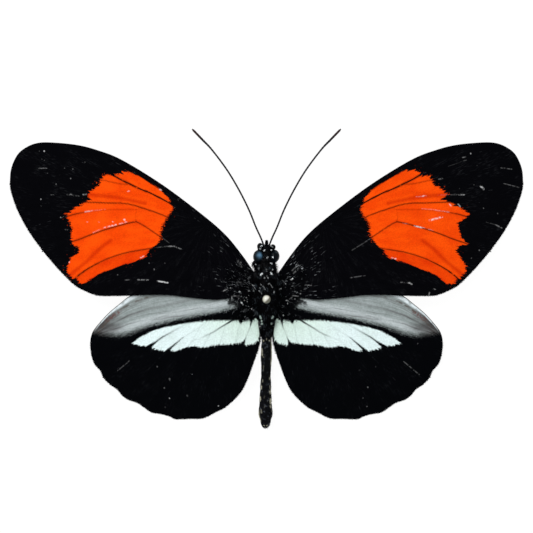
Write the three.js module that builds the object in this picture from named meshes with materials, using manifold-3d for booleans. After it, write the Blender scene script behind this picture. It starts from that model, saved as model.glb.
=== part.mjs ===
// A pinned and set passion-vine butterfly, dry, lying belly down with its wings spread.
// Millimetres, +Z up, head towards +Y. The origin is on the surface it lies on, under the pin.
// The right side is drawn, and the left side is its mirror image.

import * as THREE from 'three';
import { mergeVertices } from 'three/addons/utils/BufferGeometryUtils.js';
import Module from 'manifold-3d';

const wasm = await Module();
wasm.setup();

// Driving dimensions
const WINGSPAN = 72;
const WING_THICKNESS = 0.16;
const WING_ROOT_HEIGHT = 3.3;     // middle of the forewing where it leaves the thorax
const WING_RISE = 0.03;           // slope of the wing at its root
const FOREWING_CAMBER = 0.3;
const HINDWING_CAMBER = 0.2;
const HINDWING_DROP = 0.4;        // the hindwing passes this far under the forewing
const HINDWING_SLOPE = 0.05;      // and slopes and curls down to the surface at its rear edge
const HINDWING_CURL = 0.0064;
const PIN_RADIUS = 0.22;
const PIN_BORE_RADIUS = 0.27;
const PIN_HEAD_RADIUS = 0.63;
const PIN_HEAD_HEIGHT = 7.9;      // centre of the ball above the surface
const PIN_BORE_LENGTH = 12;
const EYE_RADII = [0.76, 0.92, 0.98];
const EYE_CENTRE = [1.06, 6.0, 2.95];
const RING_SWELLING = 0.05;       // each ring of the abdomen swells by this share between its joints
const BLUNT_END = 0.02;           // half width of the flat that ends a lofted body piece
const GAP = 0.04;                 // clearance between neighbouring pieces
const SLIVER = 0.006;             // facets narrower than this are merged away after a cut

// Facets round each piece and along it
const FACETS = {
  thorax: [18, 15], head: [16, 9], abdomen: [14, 24], pad: [10, 7], ball: [12, 9], antenna: [6, 22],
  palp: [6, 6], foreleg: [5, 9], leg: [5, 14], proboscis: [5, 28], forewing: [28, 6], hindwing: [42, 5],
  pin: 16,
};

// Wing outlines, from the wing root to the wing tip
const FOREWING_FRONT = [
  [1.2, 3.3], [1.8, 3.9], [3.4, 6.15], [5.7, 8.95], [8.9, 11.75], [14.5, 15.95],
  [20.2, 19.45], [23.7, 20.85], [26.7, 21.6], [30.5, 21.95], [32.4, 21.8], [33.8, 21.2],
  [34.8, 20.4], [35.5, 19.2], [35.9, 17.9], [WINGSPAN / 2, 16.4],
];
const FOREWING_REAR = [
  [1.2, 0.9], [2.6, 0.5], [4.1, 0.35], [6.6, -0.05], [8.8, 0.05], [11.2, 0.3], [13.6, 0.58],
  [16.0, 0.62], [19.0, 0.5], [23.0, 0.45], [24.3, 0.7], [25.6, 1.25], [26.9, 2.0], [29.0, 4.05],
  [31.4, 6.85], [33.4, 9.65], [34.9, 12.45], [35.8, 15.0], [WINGSPAN / 2, 16.4],
];
const HINDWING_FRONT = [
  [1.2, 1.2], [4.5, 2.0], [9.0, 2.3], [14.0, 2.0], [17.0, 1.35], [19.1, 0.45], [20.5, -0.6],
  [22.0, -1.85], [23.2, -3.1], [24.2, -4.35], [24.6, -5.3], [24.7, -6.1],
];
const HINDWING_REAR = [
  [1.2, -2.2], [1.1, -3.3], [0.96, -4.2], [0.87, -5.0], [0.87, -5.5], [0.95, -6.1], [1.33, -7.5], [1.85, -9.0],
  [2.5, -10.8], [3.2, -12.4], [3.9, -13.4], [4.7, -14.25], [5.9, -15.25], [7.1, -15.85],
  [8.3, -16.5], [9.2, -16.77], [10.8, -16.8], [12.7, -16.85], [13.5, -16.5], [14.6, -16.17],
  [16.1, -15.9], [17.1, -15.25], [18.1, -14.58], [19.3, -14.15], [20.2, -13.55], [20.9, -12.7],
  [21.9, -12.0], [22.8, -11.1], [23.3, -10.0], [24.0, -9.25], [24.45, -8.2], [24.6, -7.2], [24.7, -6.1],
];

// Body stations, each [y, z of the middle, half width, half height]
const THORAX_STATIONS = [
  [5.5, 3.0, 0, 0], [5.35, 3.0, 1.0, 0.65], [4.9, 2.95, 1.38, 1.05], [4.0, 2.85, 1.5, 1.5],
  [2.7, 2.7, 1.95, 1.88], [1.2, 2.65, 2.12, 2.05], [-0.3, 2.65, 2.02, 1.95], [-1.6, 2.62, 1.72, 1.65],
  [-2.8, 2.6, 1.3, 1.2], [-3.5, 2.55, 0.8, 0.75], [-3.75, 2.5, 0, 0],
];
const ABDOMEN_STATIONS = [
  [-3.1, 2.55, 0, 0], [-3.3, 2.5, 0.68, 0.7], [-4.0, 2.4, 0.82, 0.95], [-4.8, 2.27, 0.76, 0.97],
  [-5.6, 2.14, 0.68, 0.92], [-6.6, 1.98, 0.75, 0.87], [-8.2, 1.73, 0.72, 0.81], [-9.9, 1.45, 0.63, 0.76],
  [-10.6, 1.35, 0.62, 0.77], [-11.6, 1.2, 0.7, 0.8], [-13.0, 1.05, 0.78, 0.87], [-14.6, 0.98, 0.88, 0.93],
  [-15.9, 0.97, 0.93, 0.93], [-16.8, 0.97, 0.82, 0.82], [-17.6, 0.98, 0.57, 0.55], [-18.0, 0.99, 0.27, 0.25],
  [-18.1, 1.0, 0, 0],
];
const ABDOMEN_RINGS = 8;
const HEAD_STATIONS = [
  [7.5, 2.9, 0, 0], [7.42, 2.9, 0.45, 0.5], [7.1, 2.9, 0.85, 0.9], [6.4, 2.95, 1.15, 1.12],
  [5.7, 2.98, 1.25, 1.08], [5.15, 3.0, 1.2, 0.8], [4.9, 3.0, 0, 0],
];
const CHEEK_TUFT = { centre: [0.9, 7.15, 3.05], radii: [0.4, 0.4, 0.5] };
const COLLAR_PAD = { centre: [0.72, 4.55, 3.75], radii: [0.62, 0.5, 0.35] };
const SHOULDER_PAD = { centre: [1.5, 3.0, 3.75], radii: [0.55, 1.1, 0.5] };

// Limbs, with their routes as points [x, y, z] and the radius at the root and at the tip
const ANTENNA = {
  route: [
    [0.4, 7.0, 3.35], [0.78, 8.5, 3.75], [1.5, 10.1, 4.0], [2.45, 12.45, 4.2], [3.85, 15.25, 4.35],
    [5.53, 18.05, 4.35], [7.63, 20.85, 4.25], [8.92, 22.25, 4.15], [10.32, 23.7, 4.0],
  ],
  radius: 0.1,
  clubRadius: 0.15,
  clubStart: 0.84,
  clubFull: 0.95,
  tipStart: 0.97,
  tipShare: 0.4,
};
const PALP = {
  route: [[0.2, 6.9, 2.45], [0.23, 7.5, 2.75], [0.2, 7.95, 3.15], [0.14, 8.28, 3.55]],
  rootSize: [0.17, 0.24],
  tipSize: [0.05, 0.07],
};
const FORELEG = {
  route: [[0.6, 4.1, 1.75], [0.95, 4.7, 1.3], [1.2, 5.3, 1.05], [1.05, 5.75, 0.8], [0.6, 5.55, 0.55], [0.4, 4.7, 0.4]],
  rootRadius: 0.14,
  tipRadius: 0.08,
};
const MIDLEG = {
  route: [
    [0.9, 1.9, 1.3], [1.6, 2.6, 0.95], [2.3, 3.35, 0.8], [2.75, 3.65, 0.7], [3.05, 3.4, 0.6],
    [2.95, 2.6, 0.5], [2.5, 0.8, 0.34], [2.25, -0.5, 0.25], [1.85, -2.7, 0.17],
  ],
  rootRadius: 0.19,
  tipRadius: 0.09,
};
const HINDLEG = {
  route: [
    [0.6, -1.1, 1.25], [0.85, -0.5, 0.75], [1.1, 0.1, 0.5], [1.4, 0.45, 0.42], [1.7, 0.3, 0.38],
    [1.7, -0.3, 0.34], [1.4, -1.8, 0.26], [1.2, -2.9, 0.21], [0.9, -5.3, 0.15],
  ],
  rootRadius: 0.17,
  tipRadius: 0.09,
};
const PROBOSCIS = { centre: [6.95, 1.45], outer: 0.52, inner: 0.16, turns: 2.5, radius: 0.055, pointsPerTurn: 12 };

function finish(colour, roughness, metalness = 0) {
  return new THREE.MeshStandardMaterial({ color: colour, roughness, metalness });
}

const FOREWING_FINISH = finish(0x0a0a0c, 0.75);
const HINDWING_FINISH = finish(0x0c0d10, 0.75);
const FUR_FINISH = finish(0x0b0c0f, 0.85);
const EYE_FINISH = finish(0x16293a, 0.25);
const HORN_FINISH = finish(0x1d1a1c, 0.5);
const STEEL_FINISH = finish(0xb9bcc0, 0.3, 1);
const PEARL_FINISH = finish(0xe9e7d6, 0.3);

function solidOf(geometry) {
  const bare = geometry.index ? geometry.toNonIndexed() : geometry.clone();
  bare.deleteAttribute('normal');
  bare.deleteAttribute('uv');
  const merged = mergeVertices(bare, 1e-4);
  return new wasm.Manifold(new wasm.Mesh({
    numProp: 3,
    vertProperties: merged.getAttribute('position').array,
    triVerts: new Uint32Array(merged.index.array),
  }));
}

function geometryOf(solid) {
  const mesh = solid.simplify(SLIVER).getMesh();
  const geometry = new THREE.BufferGeometry();
  geometry.setAttribute('position', new THREE.BufferAttribute(mesh.vertProperties, 3));
  geometry.setIndex(new THREE.BufferAttribute(mesh.triVerts, 1));
  geometry.computeVertexNormals();
  return geometry;
}

// A grid of points closed into a solid, with its first and last rows capped by a fan.
function closedRings(rings) {
  const sides = rings[0].length;
  const points = rings.flat();
  const faces = [];
  for (let i = 0; i + 1 < rings.length; i += 1) {
    for (let j = 0; j < sides; j += 1) {
      const a = i * sides + j;
      const b = i * sides + (j + 1) % sides;
      faces.push(a, b, b + sides, a, b + sides, a + sides);
    }
  }
  const last = (rings.length - 1) * sides;
  for (let j = 1; j + 1 < sides; j += 1) {
    faces.push(0, j + 1, j, last, last + j, last + j + 1);
  }
  const geometry = new THREE.BufferGeometry().setFromPoints(points);
  geometry.setIndex(faces);
  return geometry;
}

// An oval section swept along a curve. sizeAt gives its half width and half height along the way.
function sweep(path, sizeAt, [sides, steps]) {
  const frames = path.computeFrenetFrames(steps, false);
  const rings = [];
  for (let i = 0; i <= steps; i += 1) {
    const middle = path.getPointAt(i / steps);
    const [halfWidth, halfHeight] = sizeAt(i / steps);
    const ring = [];
    for (let j = 0; j < sides; j += 1) {
      const turn = (2 * Math.PI * j) / sides;
      ring.push(middle.clone()
        .addScaledVector(frames.normals[i], halfWidth * Math.cos(turn))
        .addScaledVector(frames.binormals[i], halfHeight * Math.sin(turn)));
    }
    rings.push(ring);
  }
  return closedRings(rings);
}

function curveThrough(points) {
  return new THREE.CatmullRomCurve3(points.map((p) => new THREE.Vector3(...p)), false, 'centripetal');
}

// A body piece lofted through its stations, with rings swollen between the joints of its segments.
function loft(stations, [sides, steps], ringsSwollen = 0, swelling = 0) {
  const middles = new THREE.SplineCurve(stations.map(([y, z]) => new THREE.Vector2(y, z)));
  const sizes = new THREE.SplineCurve(stations.map(([, , w, h]) => new THREE.Vector2(w, h)));
  const rings = [];
  for (let i = 0; i <= steps; i += 1) {
    const middle = middles.getPoint(i / steps);
    const size = sizes.getPoint(i / steps);
    const bulge = 1 + swelling * (Math.abs(Math.sin((Math.PI * ringsSwollen * i) / steps)) - 1);
    const atEnd = i === 0 || i === steps;
    const halfWidth = atEnd ? BLUNT_END : size.x * bulge;
    const halfHeight = atEnd ? BLUNT_END : size.y * bulge;
    const ring = [];
    for (let j = 0; j < sides; j += 1) {
      const turn = (2 * Math.PI * j) / sides;
      ring.push(new THREE.Vector3(
        halfWidth * Math.cos(turn), middle.x, middle.y + halfHeight * Math.sin(turn)));
    }
    rings.push(ring);
  }
  return closedRings(rings);
}

function lump(centre, radii, facets, mirrored = false) {
  const geometry = new THREE.SphereGeometry(1, ...facets);
  geometry.scale(...radii);
  geometry.translate(mirrored ? -centre[0] : centre[0], centre[1], centre[2]);
  return geometry;
}

function pairOfLumps({ centre, radii }, facets) {
  return solidOf(lump(centre, radii, facets)).add(solidOf(lump(centre, radii, facets, true)));
}

// The same shape a little larger all round, to cut its neighbours clear of it.
function swollen(solid) {
  const geometry = geometryOf(solid);
  geometry.computeBoundingBox();
  const middle = geometry.boundingBox.getCenter(new THREE.Vector3());
  const size = geometry.boundingBox.getSize(new THREE.Vector3());
  const grow = (length) => 1 + (2 * GAP) / length;
  geometry.translate(-middle.x, -middle.y, -middle.z);
  geometry.scale(grow(size.x), grow(size.y), grow(size.z));
  geometry.translate(middle.x, middle.y, middle.z);
  return solidOf(geometry);
}

// Height of the set wings above the surface: they rise at the root and come down to it at the tip.
function spreadHeight(x) {
  const halfSpan = WINGSPAN / 2;
  const fall = (WING_ROOT_HEIGHT + WING_RISE * halfSpan - WING_THICKNESS / 2) / halfSpan ** 2;
  return WING_ROOT_HEIGHT + WING_RISE * x - fall * x ** 2;
}

function forewingHeight(x, y, along, across) {
  return spreadHeight(x) + FOREWING_CAMBER * Math.sin(Math.PI * across) * Math.sin(Math.PI * along);
}

function hindwingHeight(x, y, along, across) {
  const back = Math.max(0, -y);
  const droop = HINDWING_SLOPE * back + HINDWING_CURL * back ** 2;
  const camber = HINDWING_CAMBER * Math.sin(Math.PI * across) * Math.sin(Math.PI * along);
  return spreadHeight(x) - HINDWING_DROP - droop + camber;
}

// A thin wing between its front and rear edges, which meet at the tip.
function wing(front, rear, heightAt, [steps, rows]) {
  const frontEdge = new THREE.SplineCurve(front.map((p) => new THREE.Vector2(...p)));
  const rearEdge = new THREE.SplineCurve(rear.map((p) => new THREE.Vector2(...p)));
  const rings = [];
  for (let i = 0; i < steps; i += 1) {
    const along = i / steps;
    const a = frontEdge.getPointAt(along);
    const b = rearEdge.getPointAt(along);
    const upper = [];
    for (let j = 0; j <= rows; j += 1) {
      const across = j / rows;
      const p = a.clone().lerp(b, across);
      upper.push(new THREE.Vector3(p.x, p.y, heightAt(p.x, p.y, along, across)));
    }
    rings.push(upper);
  }
  const tip = new THREE.Vector2(...front[front.length - 1]);
  const tipPoint = new THREE.Vector3(tip.x, tip.y, heightAt(tip.x, tip.y, 1, 0));
  const lift = new THREE.Vector3(0, 0, WING_THICKNESS / 2);
  const points = [];
  for (const ring of rings) {
    for (const p of ring) {
      points.push(p.clone().add(lift), p.clone().sub(lift));
    }
  }
  const width = rows + 1;
  const top = (i, j) => 2 * (i * width + j);
  const tipTop = points.length;
  points.push(tipPoint.clone().add(lift), tipPoint.clone().sub(lift));
  const faces = [];
  const quad = (a, b, c, d) => {
    faces.push(a, b, c, a, c, d);
  };
  for (let i = 0; i + 1 < steps; i += 1) {
    for (let j = 0; j < rows; j += 1) {
      quad(top(i, j), top(i, j + 1), top(i + 1, j + 1), top(i + 1, j));
      quad(top(i, j) + 1, top(i + 1, j) + 1, top(i + 1, j + 1) + 1, top(i, j + 1) + 1);
    }
    quad(top(i, 0), top(i + 1, 0), top(i + 1, 0) + 1, top(i, 0) + 1);
    quad(top(i, rows), top(i, rows) + 1, top(i + 1, rows) + 1, top(i + 1, rows));
  }
  for (let j = 0; j < rows; j += 1) {
    quad(top(0, j), top(0, j) + 1, top(0, j + 1) + 1, top(0, j + 1));
    faces.push(top(steps - 1, j), top(steps - 1, j + 1), tipTop);
    faces.push(top(steps - 1, j) + 1, tipTop + 1, top(steps - 1, j + 1) + 1);
  }
  quad(top(steps - 1, 0), tipTop, tipTop + 1, top(steps - 1, 0) + 1);
  quad(top(steps - 1, rows), top(steps - 1, rows) + 1, tipTop + 1, tipTop);
  const geometry = new THREE.BufferGeometry().setFromPoints(points);
  geometry.setIndex(faces);
  return solidOf(geometry);
}

// A slender limb whose radius tapers from its root to its tip.
function limb({ route, rootRadius, tipRadius }, facets) {
  const radiusAt = (t) => rootRadius + (tipRadius - rootRadius) * t;
  return solidOf(sweep(curveThrough(route), (t) => [radiusAt(t), radiusAt(t)], facets));
}

// The antenna is a fine rod with a slim club at its end.
function antenna() {
  const { route, radius, clubRadius, clubStart, clubFull, tipStart, tipShare } = ANTENNA;
  const clubAt = (t) => THREE.MathUtils.smoothstep(t, clubStart, clubFull) * (clubRadius - radius);
  const tipAt = (t) => 1 - (1 - tipShare) * THREE.MathUtils.smoothstep(t, tipStart, 1);
  const radiusAt = (t) => (radius + clubAt(t)) * tipAt(t);
  return solidOf(sweep(curveThrough(route), (t) => [radiusAt(t), radiusAt(t)], FACETS.antenna));
}

function palp() {
  const { route, rootSize, tipSize } = PALP;
  const sizeAt = (t) => rootSize.map((size, k) => size + (tipSize[k] - size) * t);
  return solidOf(sweep(curveThrough(route), sizeAt, FACETS.palp));
}

// The tongue, coiled like a watch spring under the head.
function proboscis() {
  const { centre, outer, inner, turns, radius, pointsPerTurn } = PROBOSCIS;
  const points = [];
  for (let i = 0; i <= turns * pointsPerTurn; i += 1) {
    const share = i / (turns * pointsPerTurn);
    const turn = Math.PI / 2 - share * turns * 2 * Math.PI;
    const reach = outer + (inner - outer) * share;
    points.push([0, centre[0] + reach * Math.cos(turn), centre[1] + reach * Math.sin(turn)]);
  }
  return solidOf(sweep(curveThrough(points), () => [radius, radius], FACETS.proboscis));
}

function pinShaft() {
  const length = PIN_HEAD_HEIGHT - PIN_HEAD_RADIUS - GAP;
  const geometry = new THREE.CylinderGeometry(PIN_RADIUS, PIN_RADIUS, length, FACETS.pin);
  geometry.rotateX(Math.PI / 2);
  geometry.translate(0, 0, length / 2);
  return geometry;
}

function pinBore() {
  const geometry = new THREE.CylinderGeometry(PIN_BORE_RADIUS, PIN_BORE_RADIUS, PIN_BORE_LENGTH, FACETS.pin);
  geometry.rotateX(Math.PI / 2);
  return solidOf(geometry);
}

// Body
const thoraxWhole = solidOf(loft(THORAX_STATIONS, FACETS.thorax))
  .add(pairOfLumps(COLLAR_PAD, FACETS.pad))
  .add(pairOfLumps(SHOULDER_PAD, FACETS.pad));
const thoraxClear = swollen(thoraxWhole);
const eyes = pairOfLumps({ centre: EYE_CENTRE, radii: EYE_RADII.map((r) => r + GAP) }, FACETS.ball);
const headWhole = solidOf(loft(HEAD_STATIONS, FACETS.head)).add(pairOfLumps(CHEEK_TUFT, FACETS.pad));
const head = headWhole.subtract(eyes).subtract(thoraxClear);
const headClear = swollen(headWhole);
const abdomenWhole = solidOf(loft(ABDOMEN_STATIONS, FACETS.abdomen, ABDOMEN_RINGS, RING_SWELLING));
const abdomenClear = swollen(abdomenWhole);

const specimen = new THREE.Group();

function add(name, shape, material) {
  const mesh = new THREE.Mesh(shape.isBufferGeometry ? shape : geometryOf(shape), material);
  mesh.name = name;
  specimen.add(mesh);
  return mesh;
}

function addPair(name, solid, material) {
  add(`right_${name}`, solid, material);
  add(`left_${name}`, solid, material).scale.x = -1;
}

add('thorax', thoraxWhole.subtract(pinBore()).subtract(eyes), FUR_FINISH);
add('head', head, FUR_FINISH);
add('abdomen', abdomenWhole.subtract(thoraxClear), FUR_FINISH);
addPair('eye', solidOf(lump(EYE_CENTRE, EYE_RADII, FACETS.ball)), EYE_FINISH);

// Limbs and mouthparts
addPair('antenna', antenna().subtract(headClear), HORN_FINISH);
addPair('palp', palp().trimByPlane([0, 1, 0], HEAD_STATIONS[0][0] + 2 * GAP), FUR_FINISH);
addPair('foreleg', limb(FORELEG, FACETS.foreleg).subtract(thoraxClear).subtract(headClear), HORN_FINISH);
addPair('midleg', limb(MIDLEG, FACETS.leg).subtract(thoraxClear), HORN_FINISH);
addPair('hindleg', limb(HINDLEG, FACETS.leg).subtract(thoraxClear), HORN_FINISH);
add('proboscis', proboscis().subtract(headClear), HORN_FINISH);

// Wings
const forewing = wing(FOREWING_FRONT, FOREWING_REAR, forewingHeight, FACETS.forewing).subtract(thoraxClear);
const hindwing = wing(HINDWING_FRONT, HINDWING_REAR, hindwingHeight, FACETS.hindwing)
  .subtract(thoraxClear)
  .subtract(abdomenClear);
addPair('forewing', forewing, FOREWING_FINISH);
addPair('hindwing', hindwing, HINDWING_FINISH);

// Pin
add('pin_shaft', pinShaft(), STEEL_FINISH);
add('pin_head', lump([0, 0, PIN_HEAD_HEIGHT], Array(3).fill(PIN_HEAD_RADIUS), FACETS.ball), PEARL_FINISH);

export default specimen;
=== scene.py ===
import math
import bpy
import numpy as np
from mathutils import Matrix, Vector, kdtree, noise


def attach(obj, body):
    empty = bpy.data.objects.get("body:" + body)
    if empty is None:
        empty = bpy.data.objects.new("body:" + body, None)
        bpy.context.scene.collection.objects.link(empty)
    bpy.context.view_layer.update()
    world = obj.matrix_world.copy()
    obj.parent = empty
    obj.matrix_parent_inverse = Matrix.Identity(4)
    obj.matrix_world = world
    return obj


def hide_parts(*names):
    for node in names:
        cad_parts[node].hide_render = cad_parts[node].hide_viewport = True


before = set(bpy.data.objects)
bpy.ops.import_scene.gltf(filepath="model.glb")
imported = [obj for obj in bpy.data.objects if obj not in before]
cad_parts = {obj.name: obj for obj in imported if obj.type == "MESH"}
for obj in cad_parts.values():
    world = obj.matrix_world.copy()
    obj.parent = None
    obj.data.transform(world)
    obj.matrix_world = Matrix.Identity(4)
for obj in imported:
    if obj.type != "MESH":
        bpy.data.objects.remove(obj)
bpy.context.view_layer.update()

# The white sheet and the view.
# The dry specimen lies loose on a plain white sheet that is lit evenly from all round, with one
# large soft lamp at its upper left. It is looked at from straight above, as in the photograph.
MM = 0.001
VIEW_WIDTH = 74.6 * MM
VIEW_MIDDLE = (0.0, 4.55 * MM)
WING_LEVEL = 2.0 * MM
SENSOR_WIDTH = 36.0
LENS = 400.0
SHEET_SIZE = 4.0
SHEET_COLOUR = (0.05, 0.05, 0.05, 1.0)
SHEET_GLOW_COLOUR = (1.0, 1.0, 1.0, 1.0)
SHEET_GLOW = 0.96
LAMP_PLACE = (-0.45, 0.55, 0.8)
LAMP_SIZE = 0.45
LAMP_POWER = 7.0
SKY_WHITE = (1.0, 1.0, 1.0, 1.0)
SKY_STRENGTH = 0.85


def new_material(name, roughness, specular):
    """A material with its Principled BSDF ready, and its tree and shader."""
    material = bpy.data.materials.new(name)
    material.use_nodes = True
    shader = material.node_tree.nodes["Principled BSDF"]
    shader.inputs["Roughness"].default_value = roughness
    shader.inputs["Specular IOR Level"].default_value = specular
    return material, material.node_tree, shader


def new_object(name, verts, faces, *materials):
    """A smooth mesh object from points in millimetres."""
    mesh = bpy.data.meshes.new(name)
    mesh.from_pydata([tuple(v) for v in np.asarray(verts) * MM], [], faces)
    mesh.update()
    mesh.shade_smooth()
    for material in materials:
        mesh.materials.append(material)
    made = bpy.data.objects.new(name, mesh)
    bpy.context.scene.collection.objects.link(made)
    return made


sheet_material, _, sheet_shader = new_material("white_sheet", 1.0, 0.0)
sheet_shader.inputs["Base Color"].default_value = SHEET_COLOUR
sheet_shader.inputs["Emission Color"].default_value = SHEET_GLOW_COLOUR
sheet_shader.inputs["Emission Strength"].default_value = SHEET_GLOW
reach = SHEET_SIZE / 2 / MM
sheet = new_object(
    "white_sheet",
    [(-reach, -reach, 0), (reach, -reach, 0), (reach, reach, 0), (-reach, reach, 0)],
    [(0, 1, 2, 3)],
    sheet_material,
)

lamp_data = bpy.data.lights.new("soft_lamp", "AREA")
lamp_data.shape = "DISK"
lamp_data.size = LAMP_SIZE
lamp_data.energy = LAMP_POWER
lamp = bpy.data.objects.new("soft_lamp", lamp_data)
lamp.location = LAMP_PLACE
lamp.rotation_euler = (-Vector(LAMP_PLACE)).to_track_quat("-Z", "Y").to_euler()
bpy.context.scene.collection.objects.link(lamp)

world = bpy.data.worlds.new("white_room")
world.use_nodes = True
world.node_tree.nodes["Background"].inputs["Color"].default_value = SKY_WHITE
world.node_tree.nodes["Background"].inputs["Strength"].default_value = SKY_STRENGTH
bpy.context.scene.world = world

camera_data = bpy.data.cameras.new("camera")
camera_data.sensor_width = SENSOR_WIDTH
camera_data.lens = LENS
camera = bpy.data.objects.new("camera", camera_data)
camera.location = (*VIEW_MIDDLE, WING_LEVEL + VIEW_WIDTH * LENS / SENSOR_WIDTH)
bpy.context.scene.collection.objects.link(camera)
bpy.context.scene.camera = camera
bpy.context.scene.view_settings.view_transform = "Standard"


# The forewings.
# Each is a dry membrane, stiffened by hollow veins and covered on both faces by black and orange
# scales. It grows from the side of the thorax and was dried flat on a setting board.
WINGSPAN = 72.0
SET_THICKNESS = 0.16
WING_ROOT_HEIGHT = 3.3
WING_RISE = 0.03
FOREWING_CAMBER = 0.3
MEMBRANE_THICKNESS = 0.08
PLEAT_HEIGHT = 0.05
PLEAT_WIDTH = 0.4
VEIN_ROOT_RADIUS = 0.13
VEIN_TIP_RADIUS = 0.055
SMALL_VEIN_SHARE = 0.6
VEIN_SIDES = 6
VEIN_STEP = 0.3
VEIN_NEIGHBOURS = 6
FOREWING_STEPS = 300
FOREWING_ROWS = 110
# Outlines, veins and markings are those of a right wing, in millimetres from the pin.
FOREWING_FRONT = [
    (1.2, 3.3), (1.8, 3.9), (3.4, 6.15), (5.7, 8.95), (8.9, 11.75), (14.5, 15.95),
    (20.2, 19.45), (23.7, 20.85), (26.7, 21.6), (30.5, 21.95), (32.4, 21.8), (33.8, 21.2),
    (34.8, 20.4), (35.5, 19.2), (35.9, 17.9), (36.0, 16.4),
]
FOREWING_REAR = [
    (1.2, 0.9), (2.6, 0.5), (4.1, 0.35), (6.6, -0.05), (8.8, 0.05), (11.2, 0.3), (13.6, 0.58), (16.0, 0.62),
    (19.0, 0.5), (23.0, 0.45), (24.3, 0.7), (25.6, 1.25), (26.9, 2.0), (29.0, 4.05), (31.4, 6.85),
    (33.4, 9.65), (34.9, 12.45), (35.8, 15.0), (36.0, 16.4),
]
FOREWING_VEINS = {
    "subcosta": [(1.9, 3.1), (5.0, 7.3), (8.6, 11.0), (13.0, 14.4), (18.0, 17.4), (22.4, 19.8)],
    "radius": [
        (1.8, 2.6), (4.2, 5.8), (6.96, 8.65), (8.57, 10.09), (10.01, 11.3), (11.62, 12.4),
        (12.74, 12.98), (14.84, 14.11), (16.28, 14.84), (18.05, 15.55), (19.33, 16.2),
        (20.45, 16.76), (21.42, 17.32), (24.5, 18.6), (28.0, 20.0), (31.0, 20.9),
    ],
    "radius_branch": [
        (18.6, 15.8), (19.39, 16.04), (20.45, 16.11), (21.74, 16.37), (22.71, 16.6),
        (26.5, 17.4), (30.0, 18.2), (34.2, 18.8),
    ],
    "upper_fork": [(19.0, 15.3), (21.4, 14.9), (24.0, 14.7), (26.8, 14.75), (31.0, 15.2), (35.5, 15.7)],
    "media_1": [
        (12.7, 10.9), (14.03, 11.54), (15.64, 12.18), (16.93, 12.59), (18.05, 12.98),
        (19.18, 13.27), (20.45, 13.43), (22.06, 13.43), (25.13, 13.55), (29.5, 13.5), (34.9, 13.0),
    ],
    "cross_vein": [(17.3, 12.72), (18.13, 12.53), (18.35, 11.7), (18.21, 10.82)],
    "media_2": [
        (18.13, 12.53), (22.06, 12.5), (25.28, 12.18), (26.89, 11.86), (28.01, 11.54),
        (31.0, 10.7), (33.4, 9.9),
    ],
    "media_3": [
        (18.21, 10.82), (19.5, 10.57), (21.27, 10.09), (22.88, 9.6), (24.47, 9.04),
        (26.08, 8.4), (27.05, 8.08), (29.5, 7.2), (31.5, 6.6),
    ],
    "cubitus": [
        (1.7, 2.0), (3.6, 3.2), (6.51, 4.79), (9.21, 5.84), (11.62, 6.87), (13.23, 7.52),
        (14.03, 8.16), (16.28, 9.69), (17.25, 10.33), (18.21, 10.82),
    ],
    "cubitus_1": [
        (13.23, 7.43), (14.35, 7.36), (16.44, 7.04), (19.18, 6.59), (20.78, 6.16),
        (22.39, 5.59), (24.0, 4.79), (25.28, 4.06), (26.25, 3.35), (27.4, 2.3),
    ],
    "cubitus_2": [
        (7.4, 5.1), (10.4, 3.2), (12.0, 2.6), (14.03, 2.36), (16.45, 2.62), (17.89, 2.7),
        (19.66, 2.53), (22.0, 1.9), (23.9, 0.9),
    ],
    "anal": [(1.8, 1.4), (5.0, 1.1), (10.0, 1.2), (15.0, 1.4), (20.0, 1.2), (23.4, 0.7)],
}
THICK_VEINS = ("radius", "subcosta", "cubitus")
# How dark each vein shows over the coloured scales, at distances from the body.
FOREWING_VEIN_SHADES = {
    "radius": [(0, 1.6)], "radius_branch": [(0, 0.5)], "upper_fork": [(0, 0.0)], "media_1": [(0, 0.85)],
    "cross_vein": [(0, 0.15)], "media_2": [(24.5, 0.25), (26.5, 0.9)], "media_3": [(0, 0.95)],
    "cubitus": [(0, 0.8)], "cubitus_1": [(23.0, 0.85), (25.0, 1.4)],
}
CREASE_WIDTH = 0.09
LOWER_FIELD_FADE = 0.3
# The scales lie in rows that fan out from here.
FAN_CENTRE = {"forewing": (8.0, 10.5), "hindwing": (5.0, 2.5)}
# Lines along which the orange is painted darker, as shade in the wing's soft folds.
FOLD_SHADE_LINES = [
    [(27.6, 3.3), (25.2, 5.2), (23.4, 7.0), (21.8, 8.2)],
    [(24.9, 14.6), (21.0, 14.2), (17.0, 13.4)],
]
TOOTH_STEP = 0.1
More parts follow.
